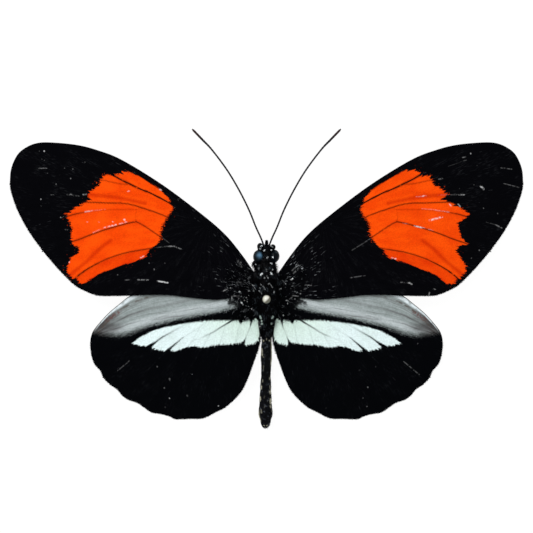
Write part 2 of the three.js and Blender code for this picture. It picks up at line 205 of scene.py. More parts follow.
# Where the scales are scratched off. Each row holds both ends, the half width and how bare it is.
FOREWING_SCRATCHES = {
    "left": [
        (24.3, 9.28, 22.7, 10.0, 0.09, 0.4), (22.6, 10.02, 21.0, 10.4, 0.1, 0.75),
        (20.6, 10.5, 19.5, 10.8, 0.09, 0.6), (25.4, 12.2, 24.4, 12.36, 0.1, 0.55),
        (24.2, 12.38, 22.5, 12.56, 0.08, 0.3), (21.5, 10.83, 21.4, 10.85, 0.1, 0.7),
        (19.95, 11.12, 19.8, 11.1, 0.11, 0.8), (23.5, 10.78, 23.4, 10.78, 0.1, 0.5),
        (25.1, 10.8, 25.0, 10.8, 0.1, 0.45), (19.4, 15.05, 19.2, 15.1, 0.09, 0.7),
        (15.0, 15.4, 14.7, 15.2, 0.1, 0.6), (17.6, 5.8, 17.1, 6.0, 0.1, 0.7),
        (27.6, 5.1, 27.6, 5.25, 0.09, 0.6), (27.9, 14.62, 27.2, 14.65, 0.09, 0.35),
        (27.1, 14.5, 26.2, 14.42, 0.09, 0.2), (25.7, 14.6, 25.2, 14.66, 0.09, 0.5),
        (19.8, 2.62, 19.0, 2.75, 0.08, 0.25), (18.0, 2.7, 16.5, 2.66, 0.09, 0.4),
        (15.2, 2.5, 13.8, 2.28, 0.1, 0.75), (15.3, 7.2, 13.9, 7.37, 0.07, 0.22),
        (13.7, 7.36, 12.9, 7.4, 0.09, 0.45), (15.7, 4.14, 15.7, 4.16, 0.1, 0.55),
        (14.2, 5.0, 14.2, 5.02, 0.08, 0.35), (3.54, 5.06, 3.5, 5.1, 0.09, 0.5),
        (4.0, 5.4, 3.5, 4.5, 0.12, 0.25), (4.1, 2.35, 3.1, 2.3, 0.09, 0.3),
        (4.0, 0.42, 3.4, 0.1, 0.12, 0.3), (6.1, 1.1, 5.5, 1.4, 0.08, 0.4),
        (5.05, 1.57, 5.05, 1.59, 0.1, 0.85), (4.9, 0.36, 4.3, 0.44, 0.07, 0.35),
        (31.15, 20.7, 31.15, 20.73, 0.1, 0.7), (31.8, 20.7, 31.8, 20.73, 0.07, 0.35),
        (31.5, 19.6, 31.5, 19.63, 0.07, 0.35), (31.1, 19.4, 31.1, 19.43, 0.08, 0.4),
        (31.9, 18.3, 30.7, 18.3, 0.07, 0.35), (28.3, 18.3, 28.3, 18.33, 0.07, 0.4),
        (27.1, 18.2, 27.1, 18.23, 0.09, 0.4), (30.7, 17.6, 30.7, 17.63, 0.07, 0.4),
        (28.9, 17.3, 28.9, 17.33, 0.07, 0.35), (27.4, 16.85, 27.4, 16.88, 0.09, 0.6),
        (29.9, 16.2, 29.9, 16.23, 0.07, 0.4), (29.45, 16.05, 29.45, 16.08, 0.09, 0.5),
        (25.4, 19.1, 25.4, 19.13, 0.09, 0.45), (31.6, 13.96, 31.6, 13.99, 0.09, 0.6),
        (31.6, 13.0, 31.6, 13.03, 0.08, 0.45), (30.3, 14.58, 29.7, 14.6, 0.06, 0.3),
        (28.9, 11.4, 28.4, 11.52, 0.08, 0.5), (28.2, 9.7, 27.7, 9.72, 0.07, 0.4),
        (14.6, 8.6, 13.6, 7.85, 0.06, 0.2), (13.1, 7.45, 11.9, 6.97, 0.08, 0.34),
        (12.3, 13.9, 12.3, 13.93, 0.1, 0.5), (12.8, 12.8, 12.8, 12.83, 0.08, 0.4),
        (16.4, 5.0, 16.4, 5.03, 0.08, 0.4), (20.8, 3.4, 20.8, 3.43, 0.08, 0.35),
    ],
    "right": [
        (19.0, 10.67, 19.8, 10.47, 0.08, 0.3), (20.7, 10.22, 21.9, 9.95, 0.1, 0.75),
        (22.1, 9.92, 23.3, 9.6, 0.08, 0.3), (21.7, 12.62, 23.6, 12.5, 0.08, 0.3),
        (23.6, 12.45, 25.6, 12.15, 0.08, 0.4), (22.8, 11.0, 24.6, 11.5, 0.12, 0.7),
        (20.9, 14.3, 22.4, 14.4, 0.08, 0.35), (21.9, 14.4, 22.2, 14.42, 0.1, 0.7),
        (24.0, 14.55, 27.6, 14.62, 0.07, 0.2), (26.9, 14.6, 27.7, 14.6, 0.09, 0.45),
        (25.6, 13.3, 25.9, 12.9, 0.09, 0.6), (26.8, 13.3, 27.1, 12.95, 0.09, 0.5),
        (24.1, 16.75, 24.6, 16.85, 0.1, 0.3), (11.9, 6.8, 14.7, 8.54, 0.07, 0.2),
        (11.7, 2.97, 13.8, 3.3, 0.07, 0.25), (18.7, 2.33, 19.8, 2.3, 0.08, 0.25),
        (19.9, 2.3, 20.3, 2.1, 0.12, 0.55), (17.5, 5.75, 18.2, 5.6, 0.1, 0.65),
        (23.3, 1.4, 23.6, 1.35, 0.1, 0.5), (3.5, 3.9, 4.4, 4.8, 0.1, 0.25), (3.8, 3.6, 4.5, 4.3, 0.1, 0.3),
        (2.5, -0.1, 3.8, 0.45, 0.09, 0.3), (3.4, 2.72, 3.55, 2.75, 0.09, 0.7),
        (5.4, 1.93, 6.25, 1.93, 0.08, 0.35), (4.74, 0.73, 4.74, 0.75, 0.09, 0.55),
        (3.8, 1.1, 4.05, 1.06, 0.06, 0.4), (4.8, 1.15, 4.8, 1.17, 0.08, 0.35),
        (3.37, 1.45, 3.37, 1.47, 0.09, 0.35), (3.7, 0.5, 4.4, 0.4, 0.08, 0.35),
        (32.7, 18.4, 34.4, 18.2, 0.07, 0.26), (33.2, 16.2, 35.4, 15.65, 0.06, 0.24),
        (32.1, 10.4, 33.0, 9.95, 0.08, 0.36), (30.7, 10.8, 32.1, 10.4, 0.06, 0.17),
        (30.0, 15.8, 30.4, 15.4, 0.13, 0.6), (28.6, 20.35, 28.6, 20.38, 0.1, 0.6),
        (27.4, 19.8, 27.9, 19.9, 0.08, 0.36), (29.45, 18.7, 29.45, 18.73, 0.08, 0.35),
        (25.4, 18.6, 28.0, 19.45, 0.06, 0.22), (32.4, 11.98, 32.4, 12.01, 0.09, 0.45),
        (30.4, 12.7, 30.4, 12.73, 0.08, 0.4), (29.8, 6.8, 29.8, 6.83, 0.09, 0.45),
        (28.3, 7.6, 28.3, 7.63, 0.09, 0.5), (28.7, 5.7, 28.7, 5.73, 0.08, 0.35),
        (27.0, 15.4, 27.0, 15.43, 0.08, 0.3), (29.05, 16.0, 29.05, 16.03, 0.08, 0.35),
        (22.8, 0.95, 22.7, 0.5, 0.08, 0.5),
    ],
}
ORANGE_PATCH = {
    "left": [
        (19.74, 17.96), (17.89, 17.25), (16.28, 16.2), (14.84, 15.32), (13.87, 14.27),
        (13.06, 12.67), (13.71, 11.7), (14.35, 10.57), (14.84, 9.28), (14.84, 8.33),
        (15.32, 7.69), (16.28, 6.96), (16.44, 6.72), (16.93, 5.91), (17.89, 5.43),
        (19.5, 4.96), (21.42, 4.31), (23.67, 3.42), (24.79, 2.7), (25.76, 2.06), (26.57, 2.7),
        (27.37, 3.02), (27.78, 3.99), (27.78, 4.96), (27.37, 5.75), (26.4, 6.4), (26.08, 7.13),
        (27.05, 7.69), (27.37, 8.81), (27.22, 9.93), (27.61, 11.06), (28.1, 11.7),
        (26.89, 12.67), (25.61, 13.38), (24.64, 13.94), (25.12, 14.67), (24.15, 15.32),
        (23.2, 16.2), (22.95, 17.01), (22.23, 17.4), (21.42, 17.25), (20.62, 17.4),
    ],
    "right": [
        (13.92, 14.34), (14.67, 15.2), (15.92, 16.09), (17.29, 16.9), (18.28, 17.46),
        (19.54, 18.02), (20.92, 18.02), (21.29, 17.58), (21.78, 17.21), (22.79, 17.21),
        (23.17, 16.21), (24.29, 15.58), (25.41, 14.64), (24.42, 14.03), (25.66, 13.45),
        (27.66, 12.46), (28.29, 11.7), (27.66, 11.21), (26.67, 10.53), (27.03, 9.72),
        (27.16, 8.71), (28.17, 7.59), (26.67, 7.46), (26.54, 6.58), (27.16, 5.84),
        (27.85, 4.83), (27.66, 3.71), (27.16, 2.95), (25.91, 2.09), (25.17, 2.21),
        (24.04, 3.21), (22.92, 3.71), (21.17, 4.4), (19.04, 5.21), (17.29, 5.71),
        (16.53, 6.33), (16.42, 6.83), (15.92, 7.08), (15.29, 7.84), (14.67, 8.58),
        (14.42, 9.46), (14.29, 10.71), (13.66, 11.47), (13.16, 12.59),
    ],
}
WING_ROOT = (1.6, 1.8)
BLACK_SCALES = (0.0012, 0.0012, 0.0019, 1)
WORN_SCALES = (0.035, 0.037, 0.042, 1)
PALE_STREAK = (0.3, 0.32, 0.34, 1)
BARE_MEMBRANE = (0.75, 0.76, 0.77, 1)
ORANGE_DEEP = (0.59, 0.024, 0.0008, 1)
ORANGE_BRIGHT = (0.8, 0.07, 0.002, 1)
# Darker orange painted as shade along the soft folds.
FOLD_SHADE_ORANGE = (0.42, 0.012, 0.0006, 1)
VEIN_ON_ORANGE = (0.006, 0.0015, 0.001, 1)
UNDERSIDE_BLACK = (0.016, 0.011, 0.009, 1)
UNDERSIDE_ORANGE = (0.62, 0.16, 0.075, 1)


def even_curve(points, count):
    """Evenly spaced points along a smooth curve through the given ones."""
    p = np.array(points, float)
    p = np.vstack([p[:1], p, p[-1:]])
    t = np.linspace(0, 1, 16, endpoint=False)[:, None]
    runs = [
        0.5 * (2 * b + (c - a) * t + (2 * a - 5 * b + 4 * c - d) * t**2 + (3 * b - a - 3 * c + d) * t**3)
        for a, b, c, d in zip(p, p[1:], p[2:], p[3:])
    ]
    fine = np.vstack(runs + [p[-1:]])
    gone = np.concatenate([[0], np.cumsum(np.linalg.norm(np.diff(fine[:, :3], axis=0), axis=1))])
    stops = np.linspace(0, gone[-1], count)
    return np.column_stack([np.interp(stops, gone, fine[:, k]) for k in range(fine.shape[1])])


def distance_to_line(xy, line, closed=False):
    """How far each point is from a line of straight stretches."""
    line = np.array(line, float)
    ends = np.vstack([line[1:], line[:1]]) if closed else line[1:]
    nearest = np.full(len(xy), np.inf)
    for a, b in zip(line, ends):
        run = b - a
        share = np.clip(((xy - a) @ run) / max(run @ run, 1e-9), 0, 1)
        nearest = np.minimum(nearest, np.hypot(*(xy - a - share[:, None] * run).T))
    return nearest


def depth_inside(xy, outline):
    """How deep each point lies inside an outline. Points outside it are below zero."""
    inside = np.zeros(len(xy), bool)
    corners = np.array(outline, float)
    for (ax, ay), (bx, by) in zip(corners, np.roll(corners, -1, axis=0)):
        if ay != by:
            crossing = ax + (xy[:, 1] - ay) * (bx - ax) / (by - ay)
            inside ^= ((ay > xy[:, 1]) != (by > xy[:, 1])) & (xy[:, 0] < crossing)
    edge = distance_to_line(xy, outline, closed=True)
    return np.where(inside, edge, -edge)


def tooth_size(xy, outline, centre):
    """1 where an edge runs across the rows of scales, so that it is toothed, and 0 where along them."""
    way = (xy - centre) / np.linalg.norm(xy - centre, axis=1)[:, None] * TOOTH_STEP
    change = depth_inside(xy + way, outline) - depth_inside(xy - way, outline)
    return np.abs(change) / (2 * TOOTH_STEP)


def scratch_values(xy, rows):
    """How many half widths each point is from the nearest scratch, and how bare that one is."""
    gaps = np.array([distance_to_line(xy, [row[:2], row[2:4]]) / row[4] for row in rows])
    bareness = np.array([row[5] for row in rows])
    return {"scratch": gaps.min(axis=0), "bareness": bareness[gaps.argmin(axis=0)]}


def spread_height(x):
    """Height of a set wing above the sheet. It rises at the root and comes down to the tip."""
    half = WINGSPAN / 2
    fall = (WING_ROOT_HEIGHT + WING_RISE * half - SET_THICKNESS / 2) / half**2
    return WING_ROOT_HEIGHT + WING_RISE * x - fall * x**2


def forewing_height(x, _, along, across):
    """Height of a forewing's middle layer, which is domed between its roots and rims."""
    return spread_height(x) + FOREWING_CAMBER * np.sin(math.pi * across) * np.sin(math.pi * along)


def tube(path, radii, sides=8):
    """A closed round tube along a path, with a radius at each of its points."""
    path = np.asarray(path, float)
    radii = np.broadcast_to(np.asarray(radii, float), len(path))
    ways = np.gradient(path, axis=0)
    ways /= np.linalg.norm(ways, axis=1)[:, None]
    side = np.cross(ways[0], (0, 0, 1) if abs(ways[0][2]) < 0.9 else (1, 0, 0))
    turns = np.linspace(0, 2 * math.pi, sides, endpoint=False)
    rings = []
    for middle, way, radius in zip(path, ways, radii):
        side = side - (side @ way) * way
        side /= np.linalg.norm(side)
        up = np.cross(side, way)
        rings.append(middle + radius * (np.outer(np.cos(turns), side) + np.outer(np.sin(turns), up)))
    return close_rings(np.array(rings), path[0], path[-1])


def close_rings(rings, first, last):
    """Rings of points joined into a closed skin, with a point at each end."""
    count, sides = rings.shape[:2]
    verts = np.vstack([rings.reshape(-1, 3), first, last])
    faces = [
        (i * sides + j, (i + 1) * sides + j, (i + 1) * sides + (j + 1) % sides, i * sides + (j + 1) % sides)
        for i in range(count - 1)
        for j in range(sides)
    ]
    head, tail, end = len(verts) - 2, len(verts) - 1, (count - 1) * sides
    faces += [(head, j, (j + 1) % sides) for j in range(sides)]
    faces += [(tail, end + (j + 1) % sides, end + j) for j in range(sides)]
    return verts, faces


def join_shapes(shapes):
    """Several shapes, each of points and faces, as one."""
    verts, faces, start = [], [], 0
    for points, corners in shapes:
        verts.append(points)
        faces += [tuple(start + k for k in face) for face in corners]
        start += len(points)
    return np.vstack(verts), faces


def mirrored(verts, faces):
    """The same shape on the other side of the body."""
    return np.asarray(verts) * (-1, 1, 1), [tuple(reversed(face)) for face in faces]


def on_side(side, shape):
    """A shape of the right side, or its twin for the left."""
    return shape if side == "right" else mirrored(*shape)


def wing_sheet(front, rear, height_at, veins, steps, rows):
    """A right wing's two faces, which meet at its rim, and each point's place along and across."""
    along, across = np.meshgrid(np.linspace(0, 1, steps + 1), np.linspace(0, 1, rows + 1), indexing="ij")
    a = even_curve(front, steps + 1)[:, None, :]
    b = even_curve(rear, steps + 1)[:, None, :]
    plan = a + (b - a) * across[:, :, None]
    x, y = plan[:, :, 0].ravel(), plan[:, :, 1].ravel()
    vein_gap = np.min([distance_to_line(np.column_stack([x, y]), v) for v in veins], axis=0)
    pleats = PLEAT_HEIGHT * np.exp(-((vein_gap / PLEAT_WIDTH) ** 2))
    middle = height_at(x, y, along.ravel(), across.ravel()) + pleats
    rim = (along == 0) | (along == 1) | (across == 0) | (across == 1)
    half = np.where(rim.ravel(), 0, MEMBRANE_THICKNESS / 2)
    count = len(x)
    top = np.arange(count).reshape(steps + 1, rows + 1)
    top[-1, :] = top[-1, 0]
    bottom = np.where(rim, top, top + count)
    verts = np.column_stack([np.tile(x, 2), np.tile(y, 2), np.concatenate([middle + half, middle - half])])
    place = np.tile(np.column_stack([along.ravel(), across.ravel()]), (2, 1))
    faces, under = [], []
    for grid, is_under in ((top, False), (bottom, True)):
        quads = np.stack([grid[:-1, :-1], grid[:-1, 1:], grid[1:, 1:], grid[1:, :-1]], axis=-1)
        for quad in quads.reshape(-1, 4).tolist():
            corners = list(dict.fromkeys(reversed(quad) if is_under else quad))
            if len(corners) > 2:
                faces.append(tuple(corners))
                under.append(is_under)
    used = np.unique(np.concatenate([np.array(f) for f in faces]))
    renumber = np.full(len(verts), -1)
    renumber[used] = np.arange(len(used))
    faces = [tuple(int(renumber[k]) for k in face) for face in faces]
    return verts[used], faces, under, place[used]


def plan_finder(verts):
    """Finds the points of a wing's sheet that are nearest in plan."""
    finder = kdtree.KDTree(len(verts))
    for k, v in enumerate(verts):
        finder.insert((v[0], v[1], 0), k)
    finder.balance()
    return finder


def wing_veins(veins, thick, sheet_verts, finder):
    """Raised veins, bedded in the wing's sheet."""
    shapes = []
    for name, points in veins.items():
        length = np.sum(np.hypot(*np.diff(np.array(points), axis=0).T))
        line = even_curve(points, max(8, int(length / VEIN_STEP)))
        heights = []
        for x, y in line:
            near = finder.find_n((x, y, 0), VEIN_NEIGHBOURS)
            weights = np.array([1 / (gap + 1e-3) for _, _, gap in near])
            levels = np.array([sheet_verts[k][2] for _, k, _ in near])
            heights.append(np.average(levels, weights=weights))
        size = 1.0 if name in thick else SMALL_VEIN_SHARE
        radii = size * np.linspace(VEIN_ROOT_RADIUS, VEIN_TIP_RADIUS / size, len(line))
        shapes.append(tube(np.column_stack([line, heights]), radii, VEIN_SIDES))
    return join_shapes(shapes)


def set_values(piece, name, values):
    """Stores one number for each point of a piece, for its material to read."""
    layer = piece.data.attributes.new(name, "FLOAT", "POINT")
    layer.data.foreach_set("value", np.ascontiguousarray(values, dtype=np.float32))


def make_wing(kind, side, outline, height_at, veins, thick, shades, steps, rows, marks, materials):
    """A whole wing, with its sheet, veins and the numbers that its markings are read from."""
    sheet_verts, sheet_faces, under, place = wing_sheet(
        *outline, height_at, list(veins.values()), steps, rows
    )
    finder = plan_finder(sheet_verts)
    vein_verts, vein_faces = wing_veins(veins, thick, sheet_verts, finder)
    verts, faces = join_shapes([(sheet_verts, sheet_faces), (vein_verts, vein_faces)])
    xy = verts[:, :2].copy()
    verts, faces = on_side(side, (verts, faces))
    piece = new_object(f"{side}_{kind}_scaled", verts, faces, *materials)
    indices = np.zeros(len(faces), dtype=np.int32)
    indices[: len(under)] = under
    piece.data.polygons.foreach_set("material_index", indices)
    vein_place = [place[finder.find((x, y, 0))[1]] for x, y in vein_verts[:, :2]]
    place = np.vstack([place, vein_place])
    set_values(piece, "along", place[:, 0])
    set_values(piece, "across", place[:, 1])
    set_values(piece, "vein", np.arange(len(verts)) >= len(sheet_verts))
    creases = []
    for vein, line in veins.items():
        places, darkness = zip(*shades.get(vein, [(0, 1.0)]))
        crease = np.exp(-((distance_to_line(xy, line) / CREASE_WIDTH) ** 2))
        creases.append(np.interp(xy[:, 0], places, darkness) * crease)
    set_values(piece, "crease", np.minimum(np.max(creases, axis=0), 1))
    set_values(piece, "root_gap", np.hypot(*(xy - WING_ROOT).T))
    fan = xy - FAN_CENTRE[kind]
    set_values(piece, "reach", np.hypot(*fan.T))
    set_values(piece, "ray", np.arctan2(fan[:, 1], np.abs(fan[:, 0])))
    for mark, values in marks(xy).items():
        set_values(piece, mark, values)
    return piece


def add_node(tree, kind, inputs=None, **settings):
    """A node with its settings and inputs. An input is a value, or a socket to link it from."""
    made = tree.nodes.new(kind)
    for key, value in settings.items():
        setattr(made, key, value)
    for key, value in (inputs or {}).items():
        if isinstance(key, int):
            socket = made.inputs[key]
        else:
            socket = next(s for s in made.inputs if s.name == key and s.enabled)
        if isinstance(value, bpy.types.NodeSocket):
            tree.links.new(value, socket)
        else:
            socket.default_value = value
    return made


def read(tree, name):
    """The number stored under a name at each point of the piece."""
    return add_node(tree, "ShaderNodeAttribute", attribute_name=name).outputs["Fac"]


def object_place(tree):
    """Each point's place on the piece, for patterns to be laid out by."""
    return add_node(tree, "ShaderNodeTexCoord").outputs["Object"]


def calc(tree, operation, a, b=0.0, c=0.0, clamp=False):
    """One step of arithmetic."""
    made = add_node(tree, "ShaderNodeMath", {0: a, 1: b, 2: c}, operation=operation, use_clamp=clamp)
    return made.outputs[0]


def times(tree, a, b):
    """Two values multiplied."""
    return calc(tree, "MULTIPLY", a, b)


def blend_colours(tree, share, a, b, mode="MIX"):
    """The first colour, with a share of the second."""
    made = add_node(tree, "ShaderNodeMix", {0: share, 6: a, 7: b}, data_type="RGBA", blend_type=mode)
    return made.outputs[2]


def ramp(tree, value, low, high):
    """A value taken smoothly from 0 at low to 1 at high."""
    made = add_node(
        tree, "ShaderNodeMapRange", {"Value": value, "From Min": low, "From Max": high},
        interpolation_type="SMOOTHSTEP",
    )
    return made.outputs["Result"]


def fall(tree, value, low, high):
    """A value taken smoothly from 1 at low to 0 at high."""
    return calc(tree, "SUBTRACT", 1.0, ramp(tree, value, low, high))


def spots(tree, vector, scale, detail=2.0, roughness=0.5):
    """Uneven cloudy noise."""
    made = add_node(
        tree, "ShaderNodeTexNoise",
        {"Vector": vector, "Scale": scale, "Detail": detail, "Roughness": roughness},
    )
    return made.outputs["Fac"]


def patches(tree, low, high, vector, scale, detail=2.0, roughness=0.5):
    """Cloudy noise as soft patches, 0 where it is under low and 1 where it is over high."""
    return ramp(tree, spots(tree, vector, scale, detail, roughness), low, high)


def add_bump(tree, shader, height, strength, depth):
    """Fine relief on a surface, of a depth in millimetres."""
    values = {"Height": height, "Strength": strength, "Distance": depth * MM}
    bump = add_node(tree, "ShaderNodeBump", values)
    tree.links.new(bump.outputs[0], shader.inputs["Normal"])
    return bump


def add_sockets(group, way, sockets):
    """Named inputs or outputs for a node group."""
    for name, kind in sockets.items():
        group.interface.new_socket(name, in_out=way, socket_type=f"NodeSocket{kind}")


def effect_group(name, inputs, outputs):
    """An effect that several materials use, still empty, with its inputs and outputs to link."""
    group = bpy.data.node_groups.new(name, "ShaderNodeTree")
    add_sockets(group, "INPUT", inputs)
    add_sockets(group, "OUTPUT", outputs)
    start, end = group.nodes.new("NodeGroupInput"), group.nodes.new("NodeGroupOutput")
    return group, start.outputs, end.inputs


def ragged_group():
    """Where a patch of coloured scales stops: its edge wanders, and its last scales are scattered."""
    inputs = {
        "Depth": "Float", "Flow": "Vector", "Place": "Vector", "Wander": "Float", "Scatter": "Float",
        "Softness": "Float",
    }
    group, given, made = effect_group("ragged edge of scales", inputs, {"Mask": "Float"})
    streaks = calc(group, "SUBTRACT", spots(group, given["Flow"], 1.0, 3.0, 0.6), 0.5)
    grains = calc(group, "SUBTRACT", spots(group, given["Place"], 9000.0, 2.0, 0.6), 0.5)
    depth = calc(group, "MULTIPLY_ADD", streaks, given["Wander"], given["Depth"])
    depth = calc(group, "MULTIPLY_ADD", grains, given["Scatter"], depth)
    depth = calc(group, "DIVIDE", depth, given["Softness"])
    group.links.new(calc(group, "ADD", depth, 0.5, clamp=True), made["Mask"])
    return group


def speck_group():
    """Sparse single specks: a few of the cells of a pattern have one, each in its cell's middle."""
    inputs = {"Place": "Vector", "Cells": "Float", "Size": "Float", "Share": "Float"}
    group, given, made = effect_group("sparse specks", inputs, {"Mask": "Float"})
    cells = add_node(group, "ShaderNodeTexVoronoi", {"Vector": given["Place"], "Scale": given["Cells"]})
    near = calc(group, "LESS_THAN", cells.outputs["Distance"], given["Size"])
    lot = add_node(group, "ShaderNodeSeparateColor", {0: cells.outputs["Color"]}).outputs[0]
    group.links.new(times(group, near, calc(group, "LESS_THAN", lot, given["Share"])), made["Mask"])
    return group


def grain_group():
    """Overlapping wing scales: tiny differences of shade, and a fine grain that catches light."""
    outputs = {"Colour": "Color", "Height": "Float"}
    group, given, made = effect_group("grain of scales", {"Colour": "Color", "Place": "Vector"}, outputs)
    shade = patches(group, 0.3, 0.7, given["Place"], 7000.0, 1.0)
    shade = calc(group, "MULTIPLY_ADD", shade, 0.22, 0.89)
    grey = add_node(group, "ShaderNodeCombineColor", {0: shade, 1: shade, 2: shade}).outputs[0]
    group.links.new(blend_colours(group, 1.0, given["Colour"], grey, "MULTIPLY"), made["Colour"])
    group.links.new(spots(group, given["Place"], 5000.0), made["Height"])
    return group


ragged_edge = ragged_group()
sparse_specks = speck_group()
scale_grain = grain_group()


def ragged(tree, depth, flow, place, wander, scatter=0.25, softness=0.09):
    """The ragged edge, with its values for one patch."""
    values = {
        "Depth": depth, "Flow": flow, "Place": place, "Wander": wander, "Scatter": scatter,
        "Softness": softness,
    }
    return add_node(tree, "ShaderNodeGroup", values, node_tree=ragged_edge).outputs["Mask"]


def flow_vector(tree, along_scale, across_scale, offset=0.0):
    """A place on the wing in which patterns are drawn out from its root to its rim."""
    along = calc(tree, "MULTIPLY_ADD", read(tree, "along"), along_scale, offset)
    across = times(tree, read(tree, "across"), across_scale)
    return add_node(tree, "ShaderNodeCombineXYZ", {"X": along, "Y": across}).outputs[0]


def ray_vector(tree, along_scale, across_scale, offset=0.0):
    """A place on the wing in which patterns are drawn out along the rows of scales."""
    along = calc(tree, "MULTIPLY_ADD", read(tree, "reach"), along_scale, offset)
    across = times(tree, read(tree, "ray"), across_scale)
    return add_node(tree, "ShaderNodeCombineXYZ", {"X": along, "Y": across}).outputs[0]


def specks(tree, place, spacing, size, share):
    """Sparse single specks, of a size and spacing in millimetres."""
    values = {"Place": place, "Cells": 1 / (spacing * MM), "Size": size / spacing, "Share": share}
    return add_node(tree, "ShaderNodeGroup", values, node_tree=sparse_specks).outputs["Mask"]


def scale_finish(tree, shader, place, colour):
    """The grain of the wing scales over a finished colour."""
    values = {"Colour": colour, "Place": place}
    grained = add_node(tree, "ShaderNodeGroup", values, node_tree=scale_grain).outputs
    tree.links.new(grained["Colour"], shader.inputs["Base Color"])
    add_bump(tree, shader, grained["Height"], 0.35, 0.03)


def black_ground(tree, place, dark, amount):
    """Black scales, rubbed grey in faint streaks from the root to the rim, and here and there bare."""
    fine = patches(tree, 0.5, 0.8, ray_vector(tree, 1.2, 160.0), 1.0, 3.0)
    broad = patches(tree, 0.42, 0.75, ray_vector(tree, 0.35, 12.0, 7.0), 1.0, 2.0)
    rubbed = times(tree, times(tree, fine, broad), amount)
    on_vein = times(tree, read(tree, "vein"), patches(tree, 0.56, 0.7, place, 700.0, 3.0, 0.7))
    rubbed = calc(tree, "MULTIPLY_ADD", on_vein, amount, rubbed, clamp=True)
    ground = blend_colours(tree, rubbed, dark, WORN_SCALES)
    return blend_colours(tree, specks(tree, place, 1.5, 0.055, 0.12), ground, PALE_STREAK)


def orange_patch(tree, place, ground, deep, bright, vein_colour):
    """The patch of orange scales, with dark veins, painted shade along soft folds and a few rubbed places.
    """
    wash = patches(tree, 0.3, 0.7, ray_vector(tree, 0.35, 9.0, 3.0), 1.0, 3.0)
    wash = calc(tree, "MULTIPLY_ADD", wash, 0.45, calc(tree, "MULTIPLY_ADD", read(tree, "lower"), -0.4, 0.5))
    orange = blend_colours(tree, wash, deep, bright)
    # Painted shade: the orange is darkened along the soft folds, where shade falls.
    fold_shade = fall(tree, read(tree, "fold_shade"), 0.0, 0.5)
    orange = blend_colours(tree, times(tree, fold_shade, 0.6), orange, FOLD_SHADE_ORANGE)
    gaps = patches(tree, 0.2, 0.4, place, 2200.0, 2.0)
    orange = blend_colours(tree, times(tree, read(tree, "crease"), gaps), orange, vein_colour)
    teeth, depth = read(tree, "teeth"), read(tree, "orange")
    wander = calc(tree, "MULTIPLY_ADD", teeth, 1.5, 0.35)
    scatter = calc(tree, "MULTIPLY_ADD", teeth, 0.6, 0.2)
    mask = ragged(tree, depth, ray_vector(tree, 0.7, 62.0), place, wander, scatter)
    strays = times(tree, specks(tree, place, 0.28, 0.075, 0.45), ramp(tree, depth, -0.95, 0.0))
    strays = times(tree, strays, patches(tree, 0.53, 0.62, place, 450.0, 1.0))
    mask = calc(tree, "MAXIMUM", mask, times(tree, strays, teeth))
    return blend_colours(tree, mask, ground, orange)


def scratched(tree, place, ground):
    """Short scratches and dots where the scales are off and the bare membrane shows."""
    line = fall(tree, read(tree, "scratch"), 0.4, 1.5)
    line = times(tree, line, patches(tree, 0.36, 0.56, place, 3600.0, 2.0))
    bare = calc(tree, "POWER", read(tree, "bareness"), 1.7)
    return blend_colours(tree, times(tree, line, bare), ground, BARE_MEMBRANE)


def finish_piece(piece, slot, *nodes):
    """The piece rides on the specimen's one body, and the parts it stands for in model.glb are hidden. Its
    slot is not used.
    """
    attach(piece, "root")
    if nodes:
        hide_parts(*nodes)


def forewing_upper():
    """The forewing's upper face, with pale flecks near the root that are partly painted glints."""
    material, tree, shader = new_material("forewing_upper_scales", 0.9, 0.01)
    place = object_place(tree)
    ground = black_ground(tree, place, BLACK_SCALES, 0.5)
    near_root = fall(tree, read(tree, "root_gap"), 3.5, 9.0)
    # Pale flecks near the root: partly pale scales, partly painted glints on them.
    flecks = patches(tree, 0.62, 0.7, flow_vector(tree, 38.0, 60.0, 11.0), 1.0, 2.0)
    flecks = times(tree, flecks, patches(tree, 0.45, 0.6, place, 500.0, 2.0))
    ground = blend_colours(tree, times(tree, flecks, near_root), ground, PALE_STREAK)
    colour = orange_patch(tree, place, ground, ORANGE_DEEP, ORANGE_BRIGHT, VEIN_ON_ORANGE)
    scale_finish(tree, shader, place, scratched(tree, place, colour))
    return material


def forewing_under():
    """The forewing's under face, browner and with a paler patch."""
    material, tree, shader = new_material("forewing_under_scales", 0.9, 0.05)
    place = object_place(tree)
    ground = black_ground(tree, place, UNDERSIDE_BLACK, 0.8)
    colour = orange_patch(tree, place, ground, UNDERSIDE_ORANGE, UNDERSIDE_ORANGE, UNDERSIDE_BLACK)
    scale_finish(tree, shader, place, colour)
    return material


forewing_materials = (forewing_upper(), forewing_under())
forewings = {}


def forewing_marks(side):
    """What the forewing's materials read at each point."""
    lowest_vein = np.array(FOREWING_VEINS["cubitus_1"]).T
    return lambda xy: {
        "orange": depth_inside(xy, ORANGE_PATCH[side]),
        "teeth": tooth_size(xy, ORANGE_PATCH[side], FAN_CENTRE["forewing"]),
        "lower": np.clip((np.interp(xy[:, 0], *lowest_vein) - xy[:, 1]) / LOWER_FIELD_FADE, 0, 1),
        "fold_shade": np.min([distance_to_line(xy, line) for line in FOLD_SHADE_LINES], axis=0),
        **scratch_values(xy, FOREWING_SCRATCHES[side]),
    }


for side in ("left", "right"):
    forewings[side] = make_wing(
        "forewing", side, (FOREWING_FRONT, FOREWING_REAR), forewing_height, FOREWING_VEINS, THICK_VEINS,
        FOREWING_VEIN_SHADES, FOREWING_STEPS, FOREWING_ROWS, forewing_marks(side), forewing_materials,
    )
    finish_piece(forewings[side], "forewing", f"{side}_forewing")


